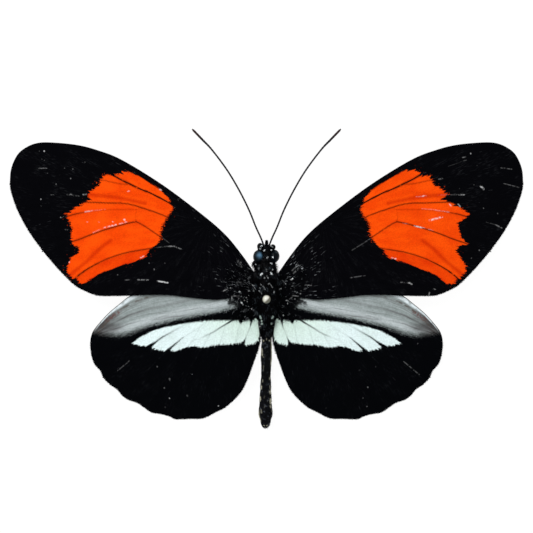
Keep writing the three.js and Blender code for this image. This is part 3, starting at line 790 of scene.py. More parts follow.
# The hindwings.
# The same kind of scaled membrane. Its grey front edge slides under the forewing, a pale green
# band crosses it near the body, and it curls down to the sheet at its rear edge.
HINDWING_CAMBER = 0.2
HINDWING_DROP = 0.4
HINDWING_SLOPE = 0.05
HINDWING_CURL = 0.0064
HINDWING_STEPS = 230
HINDWING_ROWS = 110
FRONT_EDGE_STEPS = 60
HINDWING_FRONT = [
    (1.2, 1.2), (4.5, 2.0), (9.0, 2.3), (14.0, 2.0), (17.0, 1.35), (19.1, 0.45), (20.5, -0.6),
    (22.0, -1.85), (23.2, -3.1), (24.2, -4.35), (24.6, -5.3), (24.7, -6.1),
]
HINDWING_REAR = [
    (1.2, -2.2), (1.1, -3.3), (0.96, -4.2), (0.87, -5.0), (0.87, -5.5), (0.95, -6.1), (1.33, -7.5),
    (1.85, -9.0), (2.5, -10.8), (3.2, -12.4), (3.9, -13.4), (4.7, -14.25), (5.9, -15.25), (7.1, -15.85),
    (8.3, -16.5), (9.2, -16.77), (10.8, -16.8), (12.7, -16.85), (13.5, -16.5), (14.6, -16.17),
    (16.1, -15.9), (17.1, -15.25), (18.1, -14.58), (19.3, -14.15), (20.2, -13.55), (20.9, -12.7),
    (21.9, -12.0), (22.8, -11.1), (23.3, -10.0), (24.0, -9.25), (24.45, -8.2), (24.6, -7.2), (24.7, -6.1),
]
HINDWING_VEIN_SHADES = {
    "subcosta": [(0, 0.25)], "radial_sector": [(12.0, 0.15), (14.5, 1.0)],
    "media_1": [(11.6, 0.1), (13.0, 1.0)], "media_2": [(0, 0.08)],
    "cubitus": [(4.9, 2.6), (5.6, 1.0), (7.2, 0.65), (8.4, 0.5), (9.0, 0.15)],
    "media_3": [(0, 0.12)], "cubitus_1": [(0, 0.1)], "cubitus_2": [(0, 0.1)],
    "anal": [(2.2, 1.0), (2.4, 0.25), (2.75, 0.1), (2.95, 0.8)],
}
HINDWING_SCRATCHES = {
    "left": [
        (21.1, -10.26, 19.2, -8.65, 0.07, 0.3), (13.6, -13.95, 13.6, -13.9, 0.1, 0.6),
        (6.76, -15.0, 6.76, -14.95, 0.1, 0.8), (14.3, -12.5, 14.3, -12.4, 0.09, 0.4),
        (15.3, -9.5, 15.3, -9.45, 0.09, 0.4), (13.5, -11.4, 13.6, -11.1, 0.1, 0.3),
        (14.2, -15.2, 14.2, -15.15, 0.08, 0.4), (11.1, -13.6, 11.1, -13.5, 0.12, 0.2),
        (4.97, 0.14, 4.33, 0.38, 0.06, 0.3), (4.33, 0.38, 3.8, 0.1, 0.06, 0.3),
        (5.6, -1.04, 4.9, -1.25, 0.06, 0.3), (4.9, -1.25, 4.0, -1.15, 0.06, 0.25),
    ],
    "right": [
        (19.2, -8.73, 21.4, -10.6, 0.07, 0.25), (14.2, -12.4, 14.2, -12.35, 0.1, 0.35),
        (13.5, -13.9, 13.5, -13.85, 0.09, 0.3), (14.1, -15.1, 14.1, -15.05, 0.09, 0.35),
        (8.3, -15.3, 8.3, -15.25, 0.08, 0.3), (15.3, -9.5, 15.3, -9.45, 0.08, 0.3),
        (13.0, -10.0, 13.05, -9.9, 0.08, 0.25), (21.2, -6.3, 21.2, -6.25, 0.09, 0.3),
        (4.5, 0.35, 3.9, 0.45, 0.08, 0.4), (3.21, 0.0, 3.7, 0.38, 0.07, 0.35),
        (2.7, -0.2, 3.0, -0.22, 0.08, 0.4), (3.96, 0.0, 3.96, 0.05, 0.09, 0.45),
        (1.1, -2.4, 1.36, -2.0, 0.07, 0.35),
    ],
}
HINDWING_VEINS = {
    "subcosta": [
        (1.8, 0.0), (6.65, -1.12), (10.85, -1.4), (14.21, -2.24), (17.57, -3.64), (20.51, -4.83),
        (24.2, -6.6),
    ],
    "radial_sector": [
        (1.8, -0.6), (7.0, -2.0), (11.19, -3.47), (14.57, -5.33), (16.35, -6.61), (20.0, -9.2),
        (23.0, -11.0),
    ],
    "media_1": [(7.6, -2.4), (9.4, -3.9), (11.61, -5.33), (13.65, -7.0), (17.0, -10.3), (20.0, -13.4)],
    "media_2": [(9.4, -3.9), (10.5, -5.92), (12.8, -9.2), (15.0, -12.6), (16.8, -15.2)],
    "cubitus": [(1.7, -1.2), (4.9, -3.04), (7.95, -4.91), (10.5, -5.92)],
    "media_3": [(7.95, -4.91), (9.4, -7.5), (11.6, -11.5), (13.4, -16.2)],
    "cubitus_1": [(5.8, -3.6), (6.9, -7.5), (8.2, -12.0), (9.4, -16.4)],
    "cubitus_2": [(3.6, -2.3), (4.6, -7.5), (5.7, -12.0), (6.7, -15.4)],
    "anal": [(1.6, -1.6), (2.23, -3.64), (3.01, -5.74), (3.4, -8.5), (4.0, -12.0), (4.7, -13.9)],
}
GREEN_BAND = [
    (18.82, -6.19), (17.96, -5.5), (15.93, -4.45), (13.55, -3.8), (11.69, -3.46), (10.0, -3.21),
    (7.78, -3.02), (4.9, -3.03), (3.89, -3.08), (3.63, -3.47), (3.21, -3.14), (2.37, -3.0),
    (2.23, -3.64), (2.02, -3.14), (1.51, -2.7), (1.09, -3.14), (0.88, -3.98), (0.92, -4.83),
    (1.18, -5.84), (1.68, -6.19), (2.53, -6.44), (3.04, -6.36), (3.04, -5.75), (3.54, -6.1),
    (5.42, -6.38), (6.94, -6.38), (8.13, -6.66), (9.14, -6.78), (10.0, -6.52), (11.02, -6.66),
    (11.86, -7.03), (13.05, -7.36), (13.47, -7.11), (11.61, -5.33), (13.76, -6.94), (14.24, -7.28),
    (15.25, -7.11), (16.2, -6.78), (14.57, -5.33), (16.51, -6.43), (16.95, -6.61), (17.96, -6.44),
]
GREY_FRONT = [
    (3.4, -0.9), (4.2, -1.6), (7.0, -2.25), (10.0, -2.72), (13.0, -3.36), (16.0, -4.1), (19.0, -5.2),
    (21.0, -5.65), (23.0, -5.5), (25.2, -4.9), (25.2, -3.0), (22.0, 0.5), (17.0, 3.0), (9.0, 3.2),
    (3.4, 3.0),
]
PALE_STRIP_LINE = [(16.5, 0.3), (18.6, -0.45), (20.2, -1.35), (21.6, -2.5), (22.7, -3.6), (23.6, -4.8)]
RUSTY_LINE = [(22.3, -2.95), (20.6, -1.75)]
# A dark mottled blotch just below the forewing's rear edge is painted shade, laid along this line.
SHADE_BLOTCH_LINE = [(3.9, -0.25), (4.9, -0.3)]
INNER_EDGE = [(1.1, -3.3), (0.96, -4.2), (0.87, -5.0), (0.87, -5.5), (0.95, -6.1), (1.33, -7.5)]
HINDWING_BLACK = (0.0009, 0.0011, 0.0017, 1)
GREEN_OUTER = (0.635, 0.75, 0.755, 1)
GREEN_INNER = (0.55, 0.69, 0.61, 1)
GREEN_SHADED = (0.42, 0.53, 0.47, 1)
VEIN_ON_GREEN = (0.02, 0.025, 0.024, 1)
GREY_SCALES = (0.19, 0.225, 0.22, 1)
GREY_LIGHT = (0.4, 0.445, 0.455, 1)
GREY_DARK = (0.07, 0.068, 0.068, 1)
# Painted shade for that blotch.
SHADE_BLOTCH_GREY = (0.012, 0.013, 0.013, 1)
GREY_OUTER = (0.035, 0.03, 0.03, 1)
STRIP_WHITE = (0.6, 0.67, 0.7, 1)
STRIP_BROWN = (0.07, 0.055, 0.045, 1)
RUSTY_RED = (0.1, 0.032, 0.03, 1)
UNDERSIDE_GREEN = (0.5, 0.5, 0.36, 1)


def hindwing_height(x, y, along, across):
    """Height of a hindwing's middle layer, which lies under the forewing and droops to the rear."""
    back = np.maximum(0, -y)
    droop = HINDWING_SLOPE * back + HINDWING_CURL * back**2
    camber = HINDWING_CAMBER * np.sin(math.pi * across) * np.sin(math.pi * along)
    return spread_height(x) - HINDWING_DROP - droop + camber


def hindwing_marks(side):
    """What the hindwing's materials read at each point."""
    return lambda xy: {
        "green": depth_inside(xy, GREEN_BAND),
        "teeth": tooth_size(xy, GREEN_BAND, FAN_CENTRE["hindwing"]),
        # The painted shade blotch below the forewing's rear edge.
        "worn": distance_to_line(xy, SHADE_BLOTCH_LINE),
        "grey": depth_inside(xy, GREY_FRONT),
        "strip": distance_to_line(xy, PALE_STRIP_LINE),
        "rusty": distance_to_line(xy, RUSTY_LINE),
        "inner": distance_to_line(xy, INNER_EDGE),
        "front": distance_to_line(xy, even_curve(HINDWING_FRONT, FRONT_EDGE_STEPS)),
        **scratch_values(xy, HINDWING_SCRATCHES[side]),
    }


def grey_front(tree, place, ground):
    """The satin grey front of the hindwing, streaked lengthways, with a white strip at its edge, and with
    painted shade in a soft line across it and just below the forewing's rear edge near the root.
    """
    depth, along = read(tree, "grey"), read(tree, "along")
    front, gap = read(tree, "front"), read(tree, "root_gap")
    streaks = patches(tree, 0.3, 0.75, flow_vector(tree, 5.0, 110.0), 1.0, 4.0, 0.65)
    blotches = patches(tree, 0.32, 0.68, place, 1700.0, 3.0, 0.65)
    sway = calc(tree, "MULTIPLY_ADD", spots(tree, flow_vector(tree, 3.0, 16.0, 2.0), 1.0, 2.0), 0.6, depth)
    past_band = fall(tree, sway, 1.75, 2.4)
    band = times(tree, ramp(tree, sway, 0.9, 1.4), past_band)
    light = calc(tree, "MULTIPLY_ADD", blotches, 0.2, times(tree, streaks, 0.35))
    light = calc(tree, "MULTIPLY_ADD", band, 0.62, light, clamp=True)
    grey = blend_colours(tree, light, GREY_SCALES, GREY_LIGHT)
    dark = patches(tree, 0.5, 0.72, flow_vector(tree, 3.0, 40.0, 5.0), 1.0, 4.0, 0.6)
    # Painted shade: a soft dark line across the grey, standing in for shade in a furrow of the wing.
    fold_shade_gap = calc(tree, "ABSOLUTE", calc(tree, "SUBTRACT", sway, 3.0))
    fold_shade = fall(tree, fold_shade_gap, 0.0, 0.4)
    dark = calc(tree, "ADD", times(tree, dark, 0.6), times(tree, fold_shade, 0.3), clamp=True)
    grey = blend_colours(tree, dark, grey, GREY_DARK)
    ends = times(tree, ramp(tree, along, 0.71, 0.88), calc(tree, "MULTIPLY_ADD", streaks, -0.5, 1.1))
    grey = blend_colours(tree, ends, grey, GREY_OUTER)
    outer_gap = calc(tree, "ABSOLUTE", calc(tree, "SUBTRACT", depth, 1.65))
    outer = fall(tree, outer_gap, 0.15, 0.8)
    outer = times(tree, outer, ramp(tree, along, 0.69, 0.78))
    grey = blend_colours(tree, times(tree, outer, 0.55), grey, GREY_OUTER)
    # Painted shade: a dark mottled blotch just below the forewing's rear edge, near the root.
    worn = calc(tree, "MULTIPLY_ADD", blotches, 0.7, read(tree, "worn"))
    worn = fall(tree, worn, 0.5, 1.25)
    grey = blend_colours(tree, times(tree, worn, 0.95), grey, SHADE_BLOTCH_GREY)
    narrowing = calc(tree, "MULTIPLY_ADD", ramp(tree, along, 0.68, 0.9), 1.5, 1.0)
    strip = fall(tree, times(tree, front, narrowing), 0.4, 0.75)
    strip = times(tree, strip, ramp(tree, along, 0.5, 0.6))
    strip = times(tree, strip, fall(tree, along, 0.86, 0.95))
    strip = times(tree, strip, patches(tree, 0.3, 0.5, flow_vector(tree, 30.0, 90.0), 1.0, 3.0))
    grey = blend_colours(tree, strip, grey, STRIP_WHITE)
    line = fall(tree, read(tree, "strip"), 0.02, 0.2)
    line = times(tree, line, patches(tree, 0.35, 0.65, place, 1500.0, 2.0))
    line = calc(tree, "MAXIMUM", line, fall(tree, front, 0.07, 0.15))
    grey = blend_colours(tree, times(tree, line, 0.85), grey, STRIP_BROWN)
    rusty = fall(tree, read(tree, "rusty"), 0.05, 0.5)
    rusty = times(tree, rusty, patches(tree, 0.4, 0.6, place, 3400.0, 3.0, 0.7))
    grey = blend_colours(tree, times(tree, rusty, 0.75), grey, RUSTY_RED)
    fade = ramp(tree, calc(tree, "MULTIPLY_ADD", streaks, 0.8, gap), 3.5, 4.7)
    edge = calc(tree, "SUBTRACT", depth, 0.4)
    edge = calc(tree, "MULTIPLY_ADD", ramp(tree, along, 0.45, 0.85), -0.2, edge)
    softness = calc(tree, "MULTIPLY_ADD", ramp(tree, along, 0.4, 0.8), 0.5, 0.3)
    mask = ragged(tree, edge, ray_vector(tree, 0.8, 60.0), place, 0.8, 1.5, softness)
    return blend_colours(tree, times(tree, mask, fade), ground, grey)


def green_band(tree, place, ground, outer, inner, shaded):
    """The band of pale green scales."""
    green = blend_colours(tree, ramp(tree, read(tree, "root_gap"), 3.0, 13.0), inner, outer)
    wash = patches(tree, 0.45, 0.75, place, 350.0, 3.0)
    streaks = patches(tree, 0.5, 0.8, ray_vector(tree, 0.5, 45.0, 4.0), 1.0, 3.0)
    wash = calc(tree, "MULTIPLY_ADD", streaks, 0.3, times(tree, wash, 0.25))
    near_edge = fall(tree, read(tree, "inner"), 0.1, 0.9)
    wash = calc(tree, "MULTIPLY_ADD", near_edge, 0.5, wash, clamp=True)
    green = blend_colours(tree, wash, green, shaded)
    green = blend_colours(tree, read(tree, "crease"), green, VEIN_ON_GREEN)
    teeth = read(tree, "teeth")
    wander = calc(tree, "MULTIPLY_ADD", teeth, 0.8, 0.3)
    mask = ragged(tree, read(tree, "green"), ray_vector(tree, 0.8, 75.0), place, wander, 0.5)
    mask = times(tree, mask, ramp(tree, read(tree, "inner"), 0.06, 0.16))
    return blend_colours(tree, mask, ground, green)


def hindwing_upper():
    """The hindwing's upper face."""
    material, tree, shader = new_material("hindwing_upper_scales", 0.9, 0.01)
    place = object_place(tree)
    ground = black_ground(tree, place, HINDWING_BLACK, 0.25)
    colour = grey_front(tree, place, ground)
    colour = green_band(tree, place, colour, GREEN_OUTER, GREEN_INNER, GREEN_SHADED)
    scale_finish(tree, shader, place, scratched(tree, place, colour))
    return material


def hindwing_under():
    """The hindwing's under face, browner and with a duller band."""
    material, tree, shader = new_material("hindwing_under_scales", 0.9, 0.05)
    place = object_place(tree)
    ground = black_ground(tree, place, UNDERSIDE_BLACK, 0.8)
    colour = green_band(tree, place, ground, UNDERSIDE_GREEN, UNDERSIDE_GREEN, UNDERSIDE_GREEN)
    scale_finish(tree, shader, place, colour)
    return material


hindwing_materials = (hindwing_upper(), hindwing_under())
hindwings = {}
for side in ("left", "right"):
    hindwings[side] = make_wing(
        "hindwing", side, (HINDWING_FRONT, HINDWING_REAR), hindwing_height, HINDWING_VEINS, ("subcosta",),
        HINDWING_VEIN_SHADES, HINDWING_STEPS, HINDWING_ROWS, hindwing_marks(side), hindwing_materials,
    )
    finish_piece(hindwings[side], "hindwing", f"{side}_hindwing")


# The thorax.
# A hard dark capsule full of flight muscle, under a coat of black hair with a few blue-grey hairs
# that lies backwards; the blue-grey ones are partly painted glints. A pair of collar pads and a pair of
# shoulder pads sit over the wing roots.
THORAX_STATIONS = [
    (5.5, 3.0, 0, 0), (5.38, 3.0, 0.95, 0.65), (4.9, 2.95, 1.16, 1.05), (4.0, 2.85, 1.24, 1.45),
    (2.7, 2.7, 1.75, 1.8), (1.2, 2.65, 1.95, 1.95), (-0.3, 2.65, 1.85, 1.85), (-1.6, 2.62, 1.5, 1.55),
    (-2.8, 2.6, 1.05, 1.1), (-3.5, 2.55, 0.72, 0.72), (-3.75, 2.5, 0, 0),
]
THORAX_SIDES = 64
THORAX_STEPS = 70
COLLAR_PAD = ((0.72, 4.45, 3.75), (0.6, 0.5, 0.35))
LEFT_SHOULDER_PAD = ((1.45, 2.9, 3.75), (0.55, 1.15, 0.5))
RIGHT_SHOULDER_PAD = ((1.3, 2.75, 3.75), (0.5, 1.05, 0.5))
NECK_LOBE = ((-1.56, 5.0, 3.1), (0.38, 0.42, 0.35))
NECK_SIDE = ((-1.3, 4.4, 3.1), (0.36, 0.55, 0.4))
LUMPINESS = 0.08
LUMP_SPACING = 0.7
LUMP_SEED = 4
FUR_BEND = 0.3
FUR_SIZES = (0.55, 1.15)
SKIN_BLACK = (0.0012, 0.0012, 0.0016, 1)
SKIN_WORN = (0.004, 0.004, 0.005, 1)
FUR_BLACK = (0.0011, 0.0012, 0.0017, 1)
# Pale blue-grey hairs, partly painted glints.
FUR_GLINT = (0.08, 0.1, 0.118, 1)


def loft(stations, sides, steps):
    """A closed body along Y, through stations of place, height, half width and half height."""
    turns = np.linspace(0, 2 * math.pi, sides, endpoint=False)
    rings = [
        np.column_stack([w * np.cos(turns), np.full(sides, y), z - h * np.sin(turns)])
        for y, z, w, h in even_curve(stations, steps + 2)[1:-1]
    ]
    return close_rings(np.array(rings), (0, *stations[0][:2]), (0, *stations[-1][:2]))


def lump(centre, radii, sides=28, steps=18):
    """A closed oval pad."""
    centre, radii = np.array(centre), np.array(radii)
    turns = np.linspace(0, 2 * math.pi, sides, endpoint=False)
    rings = [
        centre + radii * np.column_stack(
            [math.sin(a) * np.cos(turns), np.full(sides, math.cos(a)), -math.sin(a) * np.sin(turns)]
        )
        for a in np.linspace(0, math.pi, steps + 2)[1:-1]
    ]
    return close_rings(np.array(rings), centre + radii * (0, 1, 0), centre - radii * (0, 1, 0))


def both_sides(shape):
    """A shape of the right side with its twin of the left."""
    return [shape, mirrored(*shape)]


noise.seed_set(LUMP_SEED)


def roughened(shape, depth, spacing):
    """The same shape with soft uneven lumps."""
    verts, faces = shape
    moved = [Vector(v) + depth * noise.noise_vector(Vector(v) / spacing) for v in verts]
    return np.array(moved), faces


def fur_tree():
    """Hairs scattered over a bed. They lean, bend and differ in length, and end as plain mesh."""
    tree = bpy.data.node_groups.new("fur", "GeometryNodeTree")
    inputs = {
        "Bed": "Geometry", "Length": "Float", "Width": "Float", "Density": "Float", "Lift": "Float",
        "Spread": "Float", "Bend": "Float", "Lean": "Vector", "Seed": "Int", "Finish": "Material",
    }
    add_sockets(tree, "INPUT", inputs)
    add_sockets(tree, "OUTPUT", {"Fur": "Geometry"})
    start = tree.nodes.new("NodeGroupInput").outputs
    end = tree.nodes.new("NodeGroupOutput")

    def random(kind, low, high):
        values = {"Min": low, "Max": high, "Seed": start["Seed"]}
        made = add_node(tree, "FunctionNodeRandomValue", values, data_type=kind)
        return next(s for s in made.outputs if s.enabled)

    def vector(operation, a, b):
        keys = {0: a, 3: b} if operation == "SCALE" else {0: a, 1: b}
        return add_node(tree, "ShaderNodeVectorMath", keys, operation=operation).outputs[0]

    furry = add_node(tree, "GeometryNodeInputNamedAttribute", {"Name": "furry"}, data_type="FLOAT")
    density = times(tree, start["Density"], furry.outputs["Attribute"])
    roots = add_node(
        tree, "GeometryNodeDistributePointsOnFaces",
        {"Mesh": start["Bed"], "Density": density, "Seed": start["Seed"]}, distribute_method="RANDOM",
    )
    jitter = random("FLOAT_VECTOR", (-1.0, -1.0, -1.0), (1.0, 1.0, 1.0))
    way = vector("SCALE", roots.outputs["Normal"], start["Lift"])
    way = vector("ADD", way, start["Lean"])
    way = vector("ADD", way, vector("SCALE", jitter, start["Spread"]))
    turn = add_node(tree, "FunctionNodeAlignRotationToVector", {"Vector": way}, axis="Z")
    blade = add_node(
        tree, "GeometryNodeMeshCone",
        {
            "Vertices": 3, "Side Segments": 2, "Radius Top": 0.0,
            "Radius Bottom": start["Width"], "Depth": start["Length"],
        },
        fill_type="NONE",
    )
    place = tree.nodes.new("GeometryNodeInputPosition").outputs[0]
    height = add_node(tree, "ShaderNodeSeparateXYZ", {0: place})
    share = calc(tree, "DIVIDE", height.outputs["Z"], start["Length"])
    sag = times(tree, times(tree, share, height.outputs["Z"]), start["Bend"])
    shift = add_node(tree, "ShaderNodeCombineXYZ", {"X": sag}).outputs[0]
    bent = add_node(tree, "GeometryNodeSetPosition", {"Geometry": blade.outputs["Mesh"], "Offset": shift})
    fur = add_node(
        tree, "GeometryNodeInstanceOnPoints",
        {
            "Points": roots.outputs["Points"], "Instance": bent.outputs[0],
            "Rotation": turn.outputs[0], "Scale": random("FLOAT", *FUR_SIZES),
        },
    )
    tinted = add_node(
        tree, "GeometryNodeStoreNamedAttribute",
        {"Geometry": fur.outputs[0], "Name": "tint", "Value": random("FLOAT", 0.0, 1.0)},
        data_type="FLOAT", domain="INSTANCE",
    )
    real = add_node(tree, "GeometryNodeRealizeInstances", {"Geometry": tinted.outputs[0]})
    smooth = add_node(tree, "GeometryNodeSetShadeSmooth", {"Geometry": real.outputs[0]})
    shaded = add_node(
        tree, "GeometryNodeSetMaterial", {"Geometry": smooth.outputs[0], "Material": start["Finish"]}
    )
    tree.links.new(shaded.outputs[0], end.inputs["Fur"])
    return tree


fur = fur_tree()


def grow_fur(
    name, bed_shape, finish, length, width, density, lean, lift, spread, seed, shades=None, furry=None
):
    """Hairs on a bed, as plain mesh. Sizes are in millimetres, and density is in hairs a square one."""
    bed = new_object(name, *bed_shape)
    set_values(bed, "furry", np.ones(len(bed_shape[0])) if furry is None else furry)
    if shades is not None:
        set_values(bed, "shade", shades)
    grower = bed.modifiers.new("fur", "NODES")
    grower.node_group = fur
    values = {
        "Length": length * MM, "Width": width * MM, "Density": density / MM**2, "Lift": lift,
        "Spread": spread, "Bend": FUR_BEND, "Lean": lean, "Seed": seed, "Finish": finish,
    }
    for socket in fur.interface.items_tree:
        if socket.name in values:
            grower[socket.identifier] = values[socket.name]
    graph = bpy.context.evaluated_depsgraph_get()
    grown = bed.evaluated_get(graph)
    mesh = bpy.data.meshes.new_from_object(grown, preserve_all_data_layers=True, depsgraph=graph)
    bpy.data.objects.remove(bed)
    piece = bpy.data.objects.new(name, mesh)
    bpy.context.scene.collection.objects.link(piece)
    return piece


def pale_and_glint_hair_group():
    """A few hairs are painted pale in clumps: partly pale hairs and partly painted glints of light on the
    hair.
    """
    inputs = {"Place": "Vector", "Tint": "Float", "Darkest": "Float", "Clumps": "Float"}
    group, given, made = effect_group("pale and glinting hairs in clumps", inputs, {"Mask": "Float"})
    clump = patches(group, 0.52, 0.62, given["Place"], given["Clumps"])
    light = ramp(group, given["Tint"], given["Darkest"], 1.0)
    group.links.new(times(group, light, clump), made["Mask"])
    return group


def cuticle_group():
    """Worn patches and fine pits of bare cuticle."""
    outputs = {"Worn": "Float", "Height": "Float"}
    group, given, made = effect_group("pitted cuticle", {"Place": "Vector"}, outputs)
    group.links.new(patches(group, 0.45, 0.75, given["Place"], 1400.0, 3.0), made["Worn"])
    group.links.new(spots(group, given["Place"], 6000.0), made["Height"])
    return group


pale_and_glint_hairs = pale_and_glint_hair_group()
pitted_cuticle = cuticle_group()


def fur_material(name, dark, glint, amount, clumps=1100.0):
    """Hair, most of it black, with a few paler hairs in clumps that are partly painted glints."""
    material, tree, shader = new_material(name, 0.6, 0.01)
    values = {
        "Place": object_place(tree), "Tint": read(tree, "tint"), "Darkest": 1.0 - amount, "Clumps": clumps,
    }
    pale = add_node(tree, "ShaderNodeGroup", values, node_tree=pale_and_glint_hairs).outputs["Mask"]
    tree.links.new(blend_colours(tree, pale, dark, glint), shader.inputs["Base Color"])
    return material


def skin_material(name, colour, worn, roughness, specular):
    """Dark cuticle under the hair, with fine pits."""
    material, tree, shader = new_material(name, roughness, specular)
    values = {"Place": object_place(tree)}
    pitted = add_node(tree, "ShaderNodeGroup", values, node_tree=pitted_cuticle).outputs
    tree.links.new(blend_colours(tree, pitted["Worn"], colour, worn), shader.inputs["Base Color"])
    add_bump(tree, shader, pitted["Height"], 0.4, 0.03)
    return material


body_skin = skin_material("body_skin", SKIN_BLACK, SKIN_WORN, 0.5, 0.05)
body_fur = fur_material("body_fur", FUR_BLACK, FUR_GLINT, 0.28)
thorax_shape = roughened(
    join_shapes(
        [
            loft(THORAX_STATIONS, THORAX_SIDES, THORAX_STEPS), *both_sides(lump(*COLLAR_PAD)),
            mirrored(*lump(*LEFT_SHOULDER_PAD)), lump(*RIGHT_SHOULDER_PAD),
            lump(*NECK_LOBE), lump(*NECK_SIDE),
        ]
    ),
    LUMPINESS, LUMP_SPACING,
)
finish_piece(new_object("thorax_skin", *thorax_shape, body_skin), "fur", "thorax")
thorax_fur = grow_fur(
    "thorax_fur", thorax_shape, body_fur, length=0.75, width=0.022, density=95,
    lean=(0, -0.9, 0.0), lift=0.45, spread=0.4, seed=3,
)
finish_piece(thorax_fur, "fur")

# The hair at the wing roots.
# Longer hairs spread from the thorax over the roots of all four wings and hide the joints. Some
# are rubbed pale, and the pale ones are partly painted glints.
ROOT_HAIR_REACH = 4.6
ROOT_BED_STEPS = 90
ROOT_BED_ROWS = 30
GREEN_BAND_TOP = -3.0
FOREWING_SOCKET = (1.4, 1.9)
HINDWING_SOCKET = (1.2, -1.2)
ROOT_HAIR_LEAN = {"fore": (0.8, 0.42, 0.05), "hind": (0.7, -0.5, 0.05)}
ROOT_HAIR_PALE_GLINT = (0.3, 0.32, 0.34, 1)


def smooth_step(value, low, high):
    """A value taken smoothly from 0 at low to 1 at high."""
    share = np.clip((value - low) / (high - low), 0, 1)
    return share * share * (3 - 2 * share)


def wing_root_bed(outline, height_at, veins, socket):
    """The upper face of a right wing close to its root, and how hairy each point of it is."""
    verts, faces, under, _ = wing_sheet(
        *outline, height_at, list(veins.values()), ROOT_BED_STEPS, ROOT_BED_ROWS
    )
    gap = np.hypot(*(verts[:, :2] - socket).T)
    near = gap < ROOT_HAIR_REACH
    kept = [face for face, below in zip(faces, under) if not below and all(near[list(face)])]
    fade = np.clip(1 - gap / ROOT_HAIR_REACH, 0, 1)
    return (verts, kept), fade * smooth_step(verts[:, 1], GREEN_BAND_TOP - 0.2, GREEN_BAND_TOP + 0.8)


root_hair = fur_material("wing_root_hair", FUR_BLACK, ROOT_HAIR_PALE_GLINT, 0.3, 1600.0)
root_beds = {
    "fore": wing_root_bed(
        (FOREWING_FRONT, FOREWING_REAR), forewing_height, FOREWING_VEINS, FOREWING_SOCKET
    ),
    "hind": wing_root_bed(
        (HINDWING_FRONT, HINDWING_REAR), hindwing_height, HINDWING_VEINS, HINDWING_SOCKET
    ),
}
for pair, (bed_shape, fade) in root_beds.items():
    lean = ROOT_HAIR_LEAN[pair]
    for side, way in (("left", -1), ("right", 1)):
        hair = grow_fur(
            f"{side}_{pair}wing_root_hair", on_side(side, bed_shape), root_hair, length=1.1, width=0.02,
            density=70, lean=(way * lean[0], lean[1], lean[2]), lift=0.12, spread=0.28, seed=5, furry=fade,
        )
        finish_piece(hair, "fur")

# The fringes.
# A row of short hair-like scales stands out all along the outer rim of each wing, rooted in the
# edge of its membrane. Those at the hindwing's inner edge are longer.
FRINGE_LENGTH = 0.13
INNER_FRINGE_LENGTH = 0.24
RIBBON_HALF_HEIGHT = 0.03
RIM_STEPS = 260
INNER_RIM = slice(2, 38)
HINDWING_RIM = slice(38, RIM_STEPS)
FOREWING_RIM = slice(20, RIM_STEPS)
# Grey fringe scales, partly painted glints.
FRINGE_GREY_GLINT = (0.02, 0.02, 0.024, 1)


def rim_ribbon(outline, height_at, stretch):
    """A narrow upright ribbon round a wing's rim, for the fringe to grow from."""
    line = even_curve(outline, RIM_STEPS)[stretch]
    along = np.linspace(0, 1, RIM_STEPS)[stretch]
    height = height_at(line[:, 0], line[:, 1], along, np.ones(len(line)))
    low = np.column_stack([line, height - RIBBON_HALF_HEIGHT])
    high = np.column_stack([line, height + RIBBON_HALF_HEIGHT])
    count = len(line)
    return np.vstack([low, high]), [(i, i + 1, count + i + 1, count + i) for i in range(count - 1)]


fringe_finish = fur_material("fringe_scales", BLACK_SCALES, FRINGE_GREY_GLINT, 0.5)
rims = {
    "forewing_fringe": (FOREWING_REAR, forewing_height, FOREWING_RIM, FRINGE_LENGTH),
    "hindwing_fringe": (HINDWING_REAR, hindwing_height, HINDWING_RIM, FRINGE_LENGTH),
    "hindwing_inner_fringe": (HINDWING_REAR, hindwing_height, INNER_RIM, INNER_FRINGE_LENGTH),
}
for fringe_name, (*rim, length) in rims.items():
    ribbon = rim_ribbon(*rim)
    for side in ("left", "right"):
        fringe = grow_fur(
            f"{side}_{fringe_name}", on_side(side, ribbon), fringe_finish, length=length, width=0.025,
            density=700, lean=(0, 0, 0), lift=1.0, spread=0.3, seed=7,
        )
        finish_piece(fringe, fringe_name.split("_")[0])

# The head.
# A small rounded capsule between the eyes, with a glossy bump beside each antenna socket. It
# joins the thorax by a short neck and is covered in short black hair.
HEAD_STATIONS = [
    (7.5, 2.9, 0, 0), (7.42, 2.9, 0.45, 0.5), (7.1, 2.9, 0.8, 0.86), (6.5, 2.95, 0.85, 0.9),
    (5.7, 2.98, 0.85, 0.86), (5.15, 3.0, 1.15, 0.8), (4.9, 3.0, 0, 0),
]
LEFT_SOCKET_BUMP = ((0.9, 7.36, 3.2), (0.42, 0.48, 0.42))
RIGHT_SOCKET_BUMP = ((0.88, 7.26, 3.2), (0.39, 0.4, 0.42))
LEFT_SOCKET_RIDGE = ((0.84, 6.88, 3.0), (0.42, 0.42, 0.5))
HEAD_SIDES = 48
HEAD_STEPS = 36
HEAD_LUMPINESS = 0.03
HEAD_LUMP_SPACING = 0.4
LEFT_EYE = ((1.07, 5.9, 2.95), (0.8, 0.98, 0.98))
RIGHT_EYE = ((1.06, 6.0, 2.95), (0.76, 0.92, 0.98))
BARE_RIM = 1.16


def clear_of(verts, *ovals):
    """1 where hair may grow, and 0 on a pair of ovals or close to it."""
    right = verts * (0, 1, 1) + np.abs(verts * (1, 0, 0))
    clear = [np.linalg.norm((right - c) / np.array(r), axis=1) > BARE_RIM for c, r in ovals]
    return np.prod(clear, axis=0)


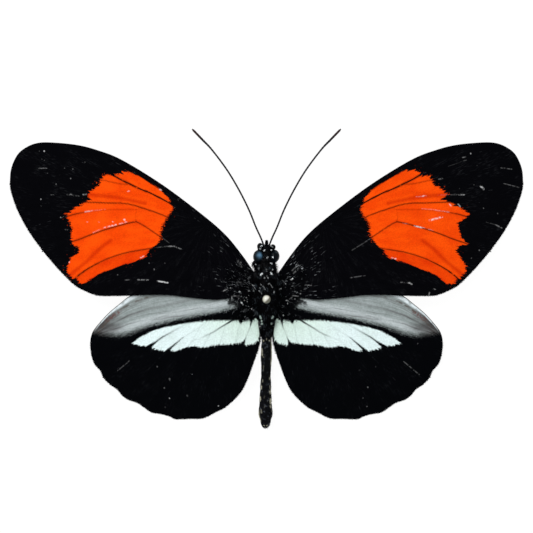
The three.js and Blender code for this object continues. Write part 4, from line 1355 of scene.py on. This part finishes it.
head_parts = [
    loft(HEAD_STATIONS, HEAD_SIDES, HEAD_STEPS), mirrored(*lump(*LEFT_SOCKET_BUMP)),
    mirrored(*lump(*LEFT_SOCKET_RIDGE)), lump(*RIGHT_SOCKET_BUMP),
]
head_shape = roughened(join_shapes(head_parts), HEAD_LUMPINESS, HEAD_LUMP_SPACING)
finish_piece(new_object("head_skin", *head_shape, body_skin), "fur", "head")
head_fur = grow_fur(
    "head_fur", head_shape, body_fur, length=0.3, width=0.02, density=190, lean=(0, -0.3, 0.1),
    lift=0.8, spread=0.5, seed=11,
    furry=clear_of(head_shape[0], RIGHT_EYE, LEFT_SOCKET_BUMP).astype(float),
)
finish_piece(head_fur, "fur")

# The eyes.
# Two large compound eyes of thousands of tiny facets, glossy and nearly black. A broad blue sheen is
# painted on the left one as a painted highlight, and a small grey one on the right.
EYE_BLACK = (0.0008, 0.0022, 0.0035, 1)
# Each painted sheen, a painted highlight, has its middle, how far it reaches and its colour.
EYE_PAINTED_SHEEN = {
    "left": ((-0.95, 6.14, 3.87), 0.95, (0.085, 0.19, 0.3, 1)),
    "right": ((1.32, 6.52, 3.65), 0.32, (0.05, 0.075, 0.09, 1)),
}
FACET_SIZE = 0.045
EYE_SIDES = 72
EYE_STEPS = 48
EYE_LUMPINESS = 0.015
EYE_LUMP_SPACING = 0.5


def eye_material(side):
    """A glossy dark eye with its painted sheen, which is a painted highlight, and its facets."""
    material, tree, shader = new_material(f"{side}_eye_facets", 0.3, 0.05)
    place = object_place(tree)
    middle, reach, colour = EYE_PAINTED_SHEEN[side]
    middle = tuple(k * MM for k in middle)
    gap = add_node(tree, "ShaderNodeVectorMath", {0: place, 1: middle}, operation="DISTANCE")
    gap = calc(tree, "MULTIPLY_ADD", spots(tree, place, 2500.0), 0.3 * MM, gap.outputs["Value"])
    # Painted highlight: a soft sheen fading out from its middle.
    painted_sheen = fall(tree, gap, 0.0, (reach + 0.15) * MM)
    painted_sheen = calc(tree, "POWER", painted_sheen, 1.9)
    tree.links.new(blend_colours(tree, painted_sheen, EYE_BLACK, colour), shader.inputs["Base Color"])
    facets = add_node(tree, "ShaderNodeTexVoronoi", {"Vector": place, "Scale": 1 / (FACET_SIZE * MM)})
    add_bump(tree, shader, facets.outputs["Distance"], 0.25, 0.01).invert = True
    return material


eye_shapes = {
    side: roughened(on_side(side, lump(*eye, EYE_SIDES, EYE_STEPS)), EYE_LUMPINESS, EYE_LUMP_SPACING)
    for side, eye in (("left", LEFT_EYE), ("right", RIGHT_EYE))
}
for side, shape in eye_shapes.items():
    finish_piece(new_object(f"{side}_eye_faceted", *shape, eye_material(side)), "eye", f"{side}_eye")

# The white tufts.
# Small dots and dashes of white scales on the head, the neck and the collar, and greenish ones
# where the abdomen joins the thorax. Some pale dots are painted glints instead: two on the glossy bumps by
# the antenna sockets, and faint ones, partly painted glints, on the hair of the thorax and wing roots. Each
# is a bunch of flat scales set in the black hair.
TUFT_HEIGHT = 0.22
TUFT_SIDES = 12
SKIN_SEARCH = 0.22
WINGS_BY_BODY = 5
TUFT_SHADED = (0.01, 0.012, 0.014, 1)
TUFT_WHITE = (0.9, 0.96, 0.98, 1)
TUFT_GREEN = (0.6, 0.75, 0.7, 1)
# Each row holds a tuft's place, half length, half width, turn in degrees and shade.
WHITE_TUFTS_AND_GLINTS = [
    # The first two are painted glints on the glossy bumps by the antenna sockets.
    (-0.71, 7.44, 0.19, 0.09, 28, 0.75), (0.72, 7.38, 0.2, 0.07, 140, 0.4),
    (-0.3, 6.82, 0.15, 0.08, 50, 0.8), (0.65, 6.86, 0.11, 0.1, 0, 0.85), (-0.87, 7.04, 0.14, 0.1, 0, 0.42),
    (0.1, 5.82, 0.18, 0.1, 50, 0.35), (0.88, 5.86, 0.13, 0.12, 0, 1.0), (0.65, 5.0, 0.18, 0.09, 172, 0.7),
    (-1.51, 4.86, 0.07, 0.06, 0, 0.85), (-1.09, 4.3, 0.16, 0.1, 60, 0.15), (0.0, 4.14, 0.1, 0.1, 0, 0.15),
    (0.81, 4.14, 0.1, 0.09, 0, 0.5), (-0.69, 3.51, 0.27, 0.12, 42, 1.0), (0.65, 3.62, 0.21, 0.13, 115, 1.0),
    (-0.27, 2.97, 0.1, 0.09, 120, 0.45), (0.2, 2.97, 0.1, 0.09, 70, 0.45),
    # From here on most are faint flecks on the thorax and wing roots, partly pale hairs and partly painted
    # glints.
    (-1.87, 1.94, 0.2, 0.08, 160, 0.4), (-1.8, 1.2, 0.17, 0.06, 120, 0.3),
    (-0.77, 2.04, 0.14, 0.05, 120, 0.35), (-0.42, 1.74, 0.16, 0.05, 135, 0.35),
    (-0.97, 1.09, 0.18, 0.05, 120, 0.3), (0.63, 1.94, 0.2, 0.06, 130, 0.35),
    (1.03, 0.99, 0.2, 0.08, 70, 0.25), (3.63, 2.87, 0.15, 0.07, 10, 0.8), (-3.8, 1.06, 0.1, 0.09, 0, 0.8),
    (-3.5, -0.5, 0.14, 0.1, 140, 0.9), (2.38, -2.24, 0.1, 0.06, 90, 0.6), (-2.1, -1.36, 0.08, 0.07, 0, 0.6),
    (2.93, -0.6, 0.06, 0.05, 0, 0.65), (1.04, 1.0, 0.12, 0.08, 80, 0.35),
    (-0.91, 1.55, 0.14, 0.04, 110, 0.4), (-0.25, 1.41, 0.13, 0.04, 130, 0.4),
    (-0.72, 0.84, 0.14, 0.04, 110, 0.3), (0.4, 2.2, 0.12, 0.04, 60, 0.35),
    (0.8, 1.69, 0.12, 0.05, 100, 0.4), (0.24, 2.15, 0.14, 0.04, 60, 0.35),
    (0.03, 3.24, 0.12, 0.05, 20, 0.2), (0.03, 3.9, 0.12, 0.05, 0, 0.15), (1.86, 1.41, 0.12, 0.06, 60, 0.2),
    (-1.62, 1.52, 0.16, 0.05, 125, 0.4), (-3.3, -0.76, 0.09, 0.06, 60, 0.5),
    (2.65, 2.16, 0.07, 0.06, 0, 0.4), (-2.83, -0.92, 0.07, 0.06, 0, 0.4), (-2.82, 0.2, 0.07, 0.06, 0, 0.45),
    (-3.09, -0.16, 0.07, 0.06, 0, 0.45), (-2.7, -0.33, 0.06, 0.05, 0, 0.35),
    (-2.5, 0.52, 0.06, 0.05, 0, 0.35), (-3.52, 0.4, 0.07, 0.05, 0, 0.35), (-4.85, 0.16, 0.08, 0.07, 0, 0.6),
    (-2.5, -1.0, 0.06, 0.05, 0, 0.35), (2.0, 1.46, 0.09, 0.07, 60, 0.4), (2.8, -0.18, 0.1, 0.05, 0, 0.4),
    (-2.45, 1.16, 0.14, 0.09, 10, 0.2),
]
GREEN_TUFTS = [
    (-0.85, -2.5, 0.26, 0.1, 110, 0.9), (-0.7, -3.05, 0.18, 0.08, 75, 0.8),
    (-0.64, -3.42, 0.13, 0.08, 20, 0.9), (0.83, -2.5, 0.26, 0.13, 65, 0.75),
    (0.7, -3.38, 0.13, 0.09, 30, 0.7),
]


def top_of(verts, x, y):
    """Height of the highest point of a shape near a place."""
    near = np.hypot(verts[:, 0] - x, verts[:, 1] - y) < SKIN_SEARCH
    return verts[near, 2].max() if near.any() else verts[:, 2].max()


def tuft_beds(rows, shape):
    """Small ovals that lie just inside the hair, and the shade of each."""
    ovals, shades = [], []
    turns = np.linspace(0, 2 * math.pi, TUFT_SIDES, endpoint=False)
    for x, y, half_length, half_width, turn, shade in rows:
        along, across = half_length * np.cos(turns), half_width * np.sin(turns)
        angle = math.radians(turn)
        plan = np.column_stack([
            x + along * math.cos(angle) - across * math.sin(angle),
            y + along * math.sin(angle) + across * math.cos(angle),
        ])
        height = top_of(shape, x, y) + TUFT_HEIGHT
        oval = np.column_stack([plan, np.full(TUFT_SIDES, height)])
        ovals.append((oval, [tuple(range(TUFT_SIDES))]))
        shades += [shade] * TUFT_SIDES
    return join_shapes(ovals), np.array(shades)


def tuft_material(name, bright):
    """Flat scales, from shaded to bright."""
    material, tree, shader = new_material(name, 0.5, 0.3)
    colour = blend_colours(tree, read(tree, "shade"), TUFT_SHADED, bright)
    tree.links.new(colour, shader.inputs["Base Color"])
    return material


all_wings = (*forewings.values(), *hindwings.values())
wing_tops = [np.array([v.co for v in wing.data.vertices]) / MM for wing in all_wings]
wing_tops = [verts[np.abs(verts[:, 0]) < WINGS_BY_BODY] for verts in wing_tops]
eye_tops = [shape[0] for shape in eye_shapes.values()]
body_tops = np.vstack([thorax_shape[0], head_shape[0], *eye_tops, *wing_tops])
for name, rows, bright, length in (
    ("white_tufts_and_glints", WHITE_TUFTS_AND_GLINTS, TUFT_WHITE, 0.13),
    ("waist_tufts", GREEN_TUFTS, TUFT_GREEN, 0.2),
):
    bed_shape, shades = tuft_beds(rows, body_tops)
    tufts = grow_fur(
        name, bed_shape, tuft_material(name, bright), length=length, width=0.04, density=420,
        lean=(0, -0.5, 0.2), lift=0.3, spread=0.4, seed=13, shades=shades,
    )
    finish_piece(tufts, "fur")

# The antennae.
# Fine jointed rods of dark cuticle with a slim reddish club at the end. They spring from sockets
# between the eyes.
ANTENNA_ROUTE = [
    (0.2, 7.0, 3.3), (0.77, 8.5, 3.75), (1.5, 10.1, 4.0), (2.45, 12.45, 4.2), (3.85, 15.25, 4.35),
    (5.53, 18.05, 4.35), (7.63, 20.85, 4.25), (8.95, 22.25, 4.15), (10.4, 23.76, 4.0),
]
ANTENNA_RADIUS = 0.125
CLUB_RADIUS = 0.165
ANTENNA_JOINTS = 46
STEPS_A_JOINT = 5
HORN_SIDES = 12
ANTENNA_DARK = (0.006, 0.006, 0.008, 1)
ANTENNA_RED = (0.018, 0.006, 0.006, 1)


def antenna_shape():
    """The right antenna, and each ring's share of the way to its tip."""
    count = ANTENNA_JOINTS * STEPS_A_JOINT + 1
    share = np.linspace(0, 1, count)
    joint = np.abs(np.sin(math.pi * ANTENNA_JOINTS * share))
    radius = ANTENNA_RADIUS + (CLUB_RADIUS - ANTENNA_RADIUS) * smooth_step(share, 0.76, 0.93)
    radius *= (0.9 + 0.1 * joint**0.5) * (1 - 0.6 * smooth_step(share, 0.982, 1.0))
    return tube(even_curve(ANTENNA_ROUTE, count), radius, HORN_SIDES), share


antenna, antenna_share = antenna_shape()
antenna_material, tree, shader = new_material("antenna_cuticle", 0.5, 0.15)
reddish = ramp(tree, read(tree, "share"), 0.86, 0.97)
tree.links.new(blend_colours(tree, reddish, ANTENNA_DARK, ANTENNA_RED), shader.inputs["Base Color"])
for side in ("left", "right"):
    piece = new_object(f"{side}_antenna_jointed", *on_side(side, antenna), antenna_material)
    set_values(piece, "share", np.concatenate([np.repeat(antenna_share, HORN_SIDES), [0, 1]]))
    finish_piece(piece, "horn", f"{side}_antenna")

# The palps.
# A pair of feelers of thin dark cuticle under short hair. They are jointed to the underside of
# the head and are held up side by side in front of the face.
PALP_ROUTE = [(0.16, 6.9, 2.45), (0.12, 7.5, 2.75), (0.09, 7.9, 3.15), (0.06, 8.14, 3.5)]
PALP_ROOT_RADIUS = 0.15
PALP_TIP_RADIUS = 0.08
PALP_STEPS = 16
PALP_SIDES = 14
palp_radii = np.linspace(PALP_ROOT_RADIUS, PALP_TIP_RADIUS, PALP_STEPS)
palp = tube(even_curve(PALP_ROUTE, PALP_STEPS), palp_radii, PALP_SIDES)
for side in ("left", "right"):
    shape = on_side(side, palp)
    finish_piece(new_object(f"{side}_palp_skin", *shape, body_skin), "fur", f"{side}_palp")
    hairs = grow_fur(
        f"{side}_palp_fur", shape, body_fur, length=0.18, width=0.02, density=420,
        lean=(0, 0.9, 0.5), lift=0.25, spread=0.2, seed=17,
    )
    finish_piece(hairs, "fur")

# The proboscis.
# The long tongue, a ridged tube of dark horn that is coiled up like a watch spring. It hangs
# from the mouth, below the face.
COIL_MIDDLE = (6.95, 1.45)
COIL_OUTER = 0.52
COIL_INNER = 0.16
COIL_TURNS = 2.5
TONGUE_RADIUS = 0.062
TONGUE_STEPS = 150
TONGUE_RIDGES = 260
HORN_DARK = (0.010, 0.008, 0.007, 1)
HORN_WORN = (0.03, 0.022, 0.017, 1)
share = np.linspace(0, 1, TONGUE_STEPS)
angle = math.pi / 2 - share * COIL_TURNS * 2 * math.pi
reach = COIL_OUTER + (COIL_INNER - COIL_OUTER) * share
coil = np.zeros((TONGUE_STEPS, 3))
coil[:, 1] = COIL_MIDDLE[0] + reach * np.cos(angle)
coil[:, 2] = COIL_MIDDLE[1] + reach * np.sin(angle)
ridged = TONGUE_RADIUS * (1 - 0.35 * share) * (0.93 + 0.07 * np.sin(share * TONGUE_RIDGES))
horn = skin_material("dark_horn", HORN_DARK, HORN_WORN, 0.4, 0.4)
finish_piece(new_object("proboscis_coiled", *tube(coil, ridged, HORN_SIDES), horn), "horn", "proboscis")

# The abdomen.
# A long dry tube of overlapping rings, covered in small dark scales that lie backwards, with a
# cream line of scales along its flanks.
ABDOMEN_STATIONS = [
    (-3.1, 2.55, 0, 0), (-3.3, 2.5, 0.74, 0.72), (-4.0, 2.4, 0.87, 0.93), (-4.8, 2.27, 0.77, 0.95),
    (-5.6, 2.14, 0.63, 0.9), (-6.6, 1.98, 0.7, 0.85), (-7.4, 1.87, 0.74, 0.82), (-8.3, 1.72, 0.73, 0.79),
    (-9.9, 1.45, 0.64, 0.74), (-10.6, 1.35, 0.64, 0.75), (-11.6, 1.2, 0.71, 0.78),
    (-13.0, 1.05, 0.77, 0.85), (-14.6, 0.98, 0.85, 0.91), (-15.8, 0.97, 0.93, 0.91),
    (-16.4, 0.97, 0.9, 0.88), (-16.75, 0.97, 0.77, 0.79), (-17.55, 0.98, 0.56, 0.54),
    (-17.98, 0.99, 0.27, 0.25), (-18.08, 1.0, 0, 0),
]
# Where cream or grey scales show; the first two rows are a painted highlight on the swollen sides. Each row
# holds both ends, the half width and how pale it is.
ABDOMEN_MARKS_AND_HIGHLIGHTS = [
    (-0.66, -6.95, -0.6, -7.85, 0.13, 0.7), (0.69, -7.0, 0.69, -7.8, 0.09, 0.55),
    (-0.42, -9.3, -0.43, -10.1, 0.07, 0.3), (0.44, -11.0, 0.46, -11.25, 0.11, 0.65),
    (-0.52, -11.3, -0.54, -11.6, 0.1, 0.45), (-0.72, -12.2, -0.75, -12.6, 0.1, 0.75),
    (0.48, -12.15, 0.5, -12.6, 0.09, 0.6), (0.5, -12.95, 0.54, -13.25, 0.15, 0.9),
    (0.56, -14.0, 0.61, -14.6, 0.15, 0.9), (0.54, -15.0, 0.58, -15.2, 0.11, 0.8),
    (-0.86, -13.7, -0.89, -14.3, 0.11, 0.8), (-0.76, -15.5, -0.72, -15.9, 0.12, 0.45),
    (-0.38, -17.7, -0.28, -17.78, 0.07, 0.9), (0.0, -17.76, 0.1, -17.68, 0.07, 0.9),
    (-0.41, -5.8, -0.41, -5.84, 0.1, 0.95), (0.41, -5.8, 0.41, -5.84, 0.1, 0.95),
    (0.0, -5.5, 0.0, -5.7, 0.07, 0.6), (-0.5, -8.1, -0.38, -8.12, 0.07, 0.5),
    (-0.3, -15.2, -0.2, -14.9, 0.07, 0.25), (0.1, -14.4, 0.2, -14.2, 0.07, 0.25),
    (-0.25, -13.6, -0.35, -13.9, 0.09, 0.2),
]
ABDOMEN_RINGS = 8
ABDOMEN_SIDES = 56
ABDOMEN_STEPS = 160
RING_OVERLAP = 0.05
ABDOMEN_LUMPINESS = 0.03
ABDOMEN_LUMP_SPACING = 0.6
ABDOMEN_BEND = -0.15
BEND_START = 5.0
BEND_END = 14.0
WAIST_HAIR_END = -5.8
WAIST_HAIR_FADE = 1.5
ABDOMEN_DARK = (0.0018, 0.0021, 0.0032, 1)
ABDOMEN_GREY = (0.055, 0.063, 0.078, 1)
CREAM = (0.46, 0.45, 0.35, 1)


def abdomen_measure(verts, column):
    """The abdomen's height or half width at each point's place along it."""
    places = [-station[0] for station in ABDOMEN_STATIONS]
    return np.interp(-verts[:, 1], places, [station[column] for station in ABDOMEN_STATIONS])


def abdomen_shape():
    """The straight abdomen, each ring of which swells over the start of the next."""
    verts, faces = loft(ABDOMEN_STATIONS, ABDOMEN_SIDES, ABDOMEN_STEPS)
    front, rear = ABDOMEN_STATIONS[0][0], ABDOMEN_STATIONS[-1][0]
    share = (front - verts[:, 1]) / (front - rear) * ABDOMEN_RINGS % 1
    middle = abdomen_measure(verts, 1)
    swell = 1 + RING_OVERLAP * (smooth_step(share, 0.0, 0.85) - 0.6) * (1 - smooth_step(share, 0.94, 1.0))
    verts[:, 0] *= swell
    verts[:, 2] = middle + (verts[:, 2] - middle) * swell
    return roughened((verts, faces), ABDOMEN_LUMPINESS, ABDOMEN_LUMP_SPACING)


def bent(verts):
    """The dried abdomen turns a little to the left towards its tip."""
    moved = verts.copy()
    moved[:, 0] += ABDOMEN_BEND * smooth_step(-verts[:, 1], BEND_START, BEND_END)
    return moved


def flank_values(verts):
    """1 on the widest line of the abdomen, and 0 on its back and belly."""
    return np.clip(np.abs(verts[:, 0]) / np.maximum(abdomen_measure(verts, 2), 0.05), 0, 1.2)


def abdomen_material(name, fine):
    """Dark scales with fine grey ones among them, and cream ones on the flanks and in marks, two of which
    are a painted highlight.
    """
    material, tree, shader = new_material(name, 0.5, 0.05)
    place = object_place(tree)
    grey = times(tree, patches(tree, 0.56, 0.72, place, 2300.0, 3.0), fine)
    colour = blend_colours(tree, grey, ABDOMEN_DARK, ABDOMEN_GREY)
    uneven = patches(tree, 0.54, 0.64, place, 420.0, 2.0)
    cream = times(tree, ramp(tree, read(tree, "flank"), 0.86, 0.97), uneven)
    rough_edge = calc(tree, "MULTIPLY_ADD", spots(tree, place, 2600.0, 3.0), 1.6, read(tree, "scratch"))
    mark = fall(tree, rough_edge, 1.1, 2.1)
    mark = times(tree, mark, calc(tree, "POWER", read(tree, "bareness"), 1.5))
    cream = calc(tree, "MAXIMUM", cream, mark)
    tree.links.new(blend_colours(tree, cream, colour, CREAM), shader.inputs["Base Color"])
    return material


def set_abdomen_values(piece, verts, straight_verts):
    """Stores what the abdomen's material reads."""
    set_values(piece, "flank", flank_values(straight_verts))
    for name, values in scratch_values(verts[:, :2], ABDOMEN_MARKS_AND_HIGHLIGHTS).items():
        set_values(piece, name, values)


straight = abdomen_shape()
abdomen = bent(straight[0]), straight[1]
piece = new_object("abdomen_ringed", *abdomen, abdomen_material("abdomen_skin", 1.0))
set_abdomen_values(piece, abdomen[0], straight[0])
finish_piece(piece, "abdomen", "abdomen")
scales = grow_fur(
    "abdomen_scales", abdomen, abdomen_material("abdomen_scales", 0.8), length=0.22, width=0.028,
    density=130, lean=(0, -1.0, 0.0), lift=0.14, spread=0.16, seed=19,
)
scale_places = np.array([v.co for v in scales.data.vertices]) / MM
set_abdomen_values(scales, scale_places, 2 * scale_places - bent(scale_places))
finish_piece(scales, "abdomen")
waist = smooth_step(abdomen[0][:, 1], WAIST_HAIR_END, WAIST_HAIR_END + WAIST_HAIR_FADE)
waist_hair = grow_fur(
    "waist_hair", abdomen, body_fur, length=0.5, width=0.02, density=150, lean=(0, -1.0, 0.0),
    lift=0.3, spread=0.25, seed=29, furry=waist,
)
finish_piece(waist_hair, "fur")

# The legs.
# Two small folded forelegs and four walking legs of dark horn, each of a thigh, a shin and a
# foot of five joints. They dried folded under the thorax.
# Each leg has its route from the thorax, and its radius at the root and at the tip.
LEGS = {
    "foreleg": (
        [
            (0.6, 4.1, 1.75), (0.95, 4.7, 1.3), (1.2, 5.3, 1.05), (1.05, 5.75, 0.8), (0.6, 5.55, 0.55),
            (0.4, 4.7, 0.4),
        ], 0.14, 0.08,
    ),
    "midleg": (
        [
            (0.9, 1.9, 1.3), (1.6, 2.6, 0.95), (2.3, 3.35, 0.8), (2.75, 3.65, 0.7), (3.05, 3.4, 0.6),
            (2.95, 2.6, 0.5), (2.5, 0.8, 0.34), (2.25, -0.5, 0.25), (1.85, -2.7, 0.17),
        ], 0.19, 0.09,
    ),
    "hindleg": (
        [
            (0.6, -1.1, 1.25), (0.85, -0.5, 0.75), (1.1, 0.1, 0.5), (1.4, 0.45, 0.42), (1.7, 0.3, 0.38),
            (1.7, -0.3, 0.34), (1.4, -1.8, 0.26), (1.2, -2.9, 0.21), (0.9, -5.3, 0.15),
        ], 0.17, 0.09,
    ),
}
FOOT_START = 0.62
FOOT_JOINTS = 5
LEG_STEPS = 90
for leg_name, (route, root_radius, tip_radius) in LEGS.items():
    share = np.linspace(0, 1, LEG_STEPS)
    foot = np.clip((share - FOOT_START) / (1 - FOOT_START), 0, 1)
    knuckles = np.where(foot > 0, 0.82 + 0.18 * np.abs(np.sin(math.pi * FOOT_JOINTS * foot)), 1.0)
    radius = (root_radius + (tip_radius - root_radius) * share) * knuckles
    leg = tube(even_curve(route, LEG_STEPS), radius, HORN_SIDES)
    for side in ("left", "right"):
        shape = on_side(side, leg)
        finish_piece(new_object(f"{side}_{leg_name}_jointed", *shape, horn), "horn", f"{side}_{leg_name}")
        bristles = grow_fur(
            f"{side}_{leg_name}_bristles", shape, body_fur, length=0.16, width=0.012, density=60,
            lean=(0, -0.5, 0), lift=0.5, spread=0.3, seed=23,
        )
        finish_piece(bristles, "horn")

# The pin.
# A polished steel wire pushed down through the thorax and clipped off level with the sheet. Its
# head is a pearly ball moulded on the wire, with painted shade on its lower right side and underneath.
PIN_RADIUS = 0.22
PIN_HEAD_RADIUS = 0.585
PIN_HEAD_HEIGHT = 7.9
NECK_RADII = (0.235, 0.25)
NECK_RISE = 0.036
BALL_START = -1.12
BALL_END = 1.5
BALL_STEPS = 40
BALL_SIDES = 48
PIN_SIDES = 32
CROWN = (0.1, 0.9)
# Painted shade: the ball's lower right side and its lower half are painted dark.
SHADED_SIDE = (0.7, -0.7, -0.1)
PEARL = (0.62, 0.63, 0.57, 1)
PEARL_CLOUD = (0.5, 0.5, 0.41, 1)
PEARL_SHADE = (0.09, 0.09, 0.055, 1)
PEARL_PAINTED_UNDERSHADE = (0.1, 0.1, 0.065, 1)
STEEL = (0.62, 0.63, 0.65, 1)


def turned(profile, sides):
    """A closed shape turned about the pin's axis. The profile runs upwards, in radius and height."""
    turns = np.linspace(0, 2 * math.pi, sides, endpoint=False)
    rings = [
        np.column_stack([r * np.cos(turns), r * np.sin(turns), np.full(sides, z)]) for r, z in profile
    ]
    return close_rings(np.array(rings), (0, 0, profile[0][1]), (0, 0, profile[-1][1]))


ball = [
    (PIN_HEAD_RADIUS * math.cos(a), PIN_HEAD_HEIGHT + PIN_HEAD_RADIUS * math.sin(a))
    for a in np.linspace(BALL_START, BALL_END, BALL_STEPS)
]
shaft_top = PIN_HEAD_HEIGHT - PIN_HEAD_RADIUS
head_profile = [(NECK_RADII[0], shaft_top), (NECK_RADII[1], shaft_top + NECK_RISE), *ball]
pearl_material, tree, shader = new_material("pearl_ball", 0.28, 0.5)
place = object_place(tree)
cloud = patches(tree, 0.3, 0.7, place, 900.0, 2.0)
pearl = blend_colours(tree, cloud, PEARL, PEARL_CLOUD)
# Painted shade on the ball's lower right side.
lower_right = add_node(
    tree, "ShaderNodeVectorMath", {0: place, 1: SHADED_SIDE}, operation="DOT_PRODUCT"
)
shaded = ramp(tree, lower_right.outputs["Value"], -0.86 * MM, -0.6 * MM)
pearl = blend_colours(tree, shaded, pearl, PEARL_SHADE)
# Painted shade: below its crown the ball is painted darker.
height = add_node(tree, "ShaderNodeSeparateXYZ", {0: place}).outputs["Z"]
crown_start, crown = (PIN_HEAD_HEIGHT + PIN_HEAD_RADIUS * share for share in CROWN)
lit = ramp(tree, height, crown_start * MM, crown * MM)
tree.links.new(blend_colours(tree, lit, PEARL_PAINTED_UNDERSHADE, pearl), shader.inputs["Base Color"])
shader.inputs["Coat Weight"].default_value = 0.5
shader.inputs["Coat Roughness"].default_value = 0.1
pearl_head = new_object("pin_head_pearl", *turned(head_profile, BALL_SIDES), pearl_material)
finish_piece(pearl_head, "pin_head", "pin_head")

steel_material, tree, shader = new_material("drawn_steel", 0.3, 0.5)
place = object_place(tree)
grain = add_node(tree, "ShaderNodeMapping", {"Vector": place, "Scale": (9000.0, 9000.0, 300.0)}).outputs[0]
rough = calc(tree, "MULTIPLY_ADD", spots(tree, grain, 1.0, 2.0), 0.3, 0.18)
tree.links.new(rough, shader.inputs["Roughness"])
shader.inputs["Base Color"].default_value = STEEL
shader.inputs["Metallic"].default_value = 1.0
shaft_profile = [
    (PIN_RADIUS * 0.9, 0.0), (PIN_RADIUS, 0.03), (PIN_RADIUS, shaft_top * 0.5), (PIN_RADIUS, shaft_top),
]
shaft = new_object("pin_shaft_wire", *turned(shaft_profile, PIN_SIDES), steel_material)
finish_piece(shaft, "pin_steel", "pin_shaft")
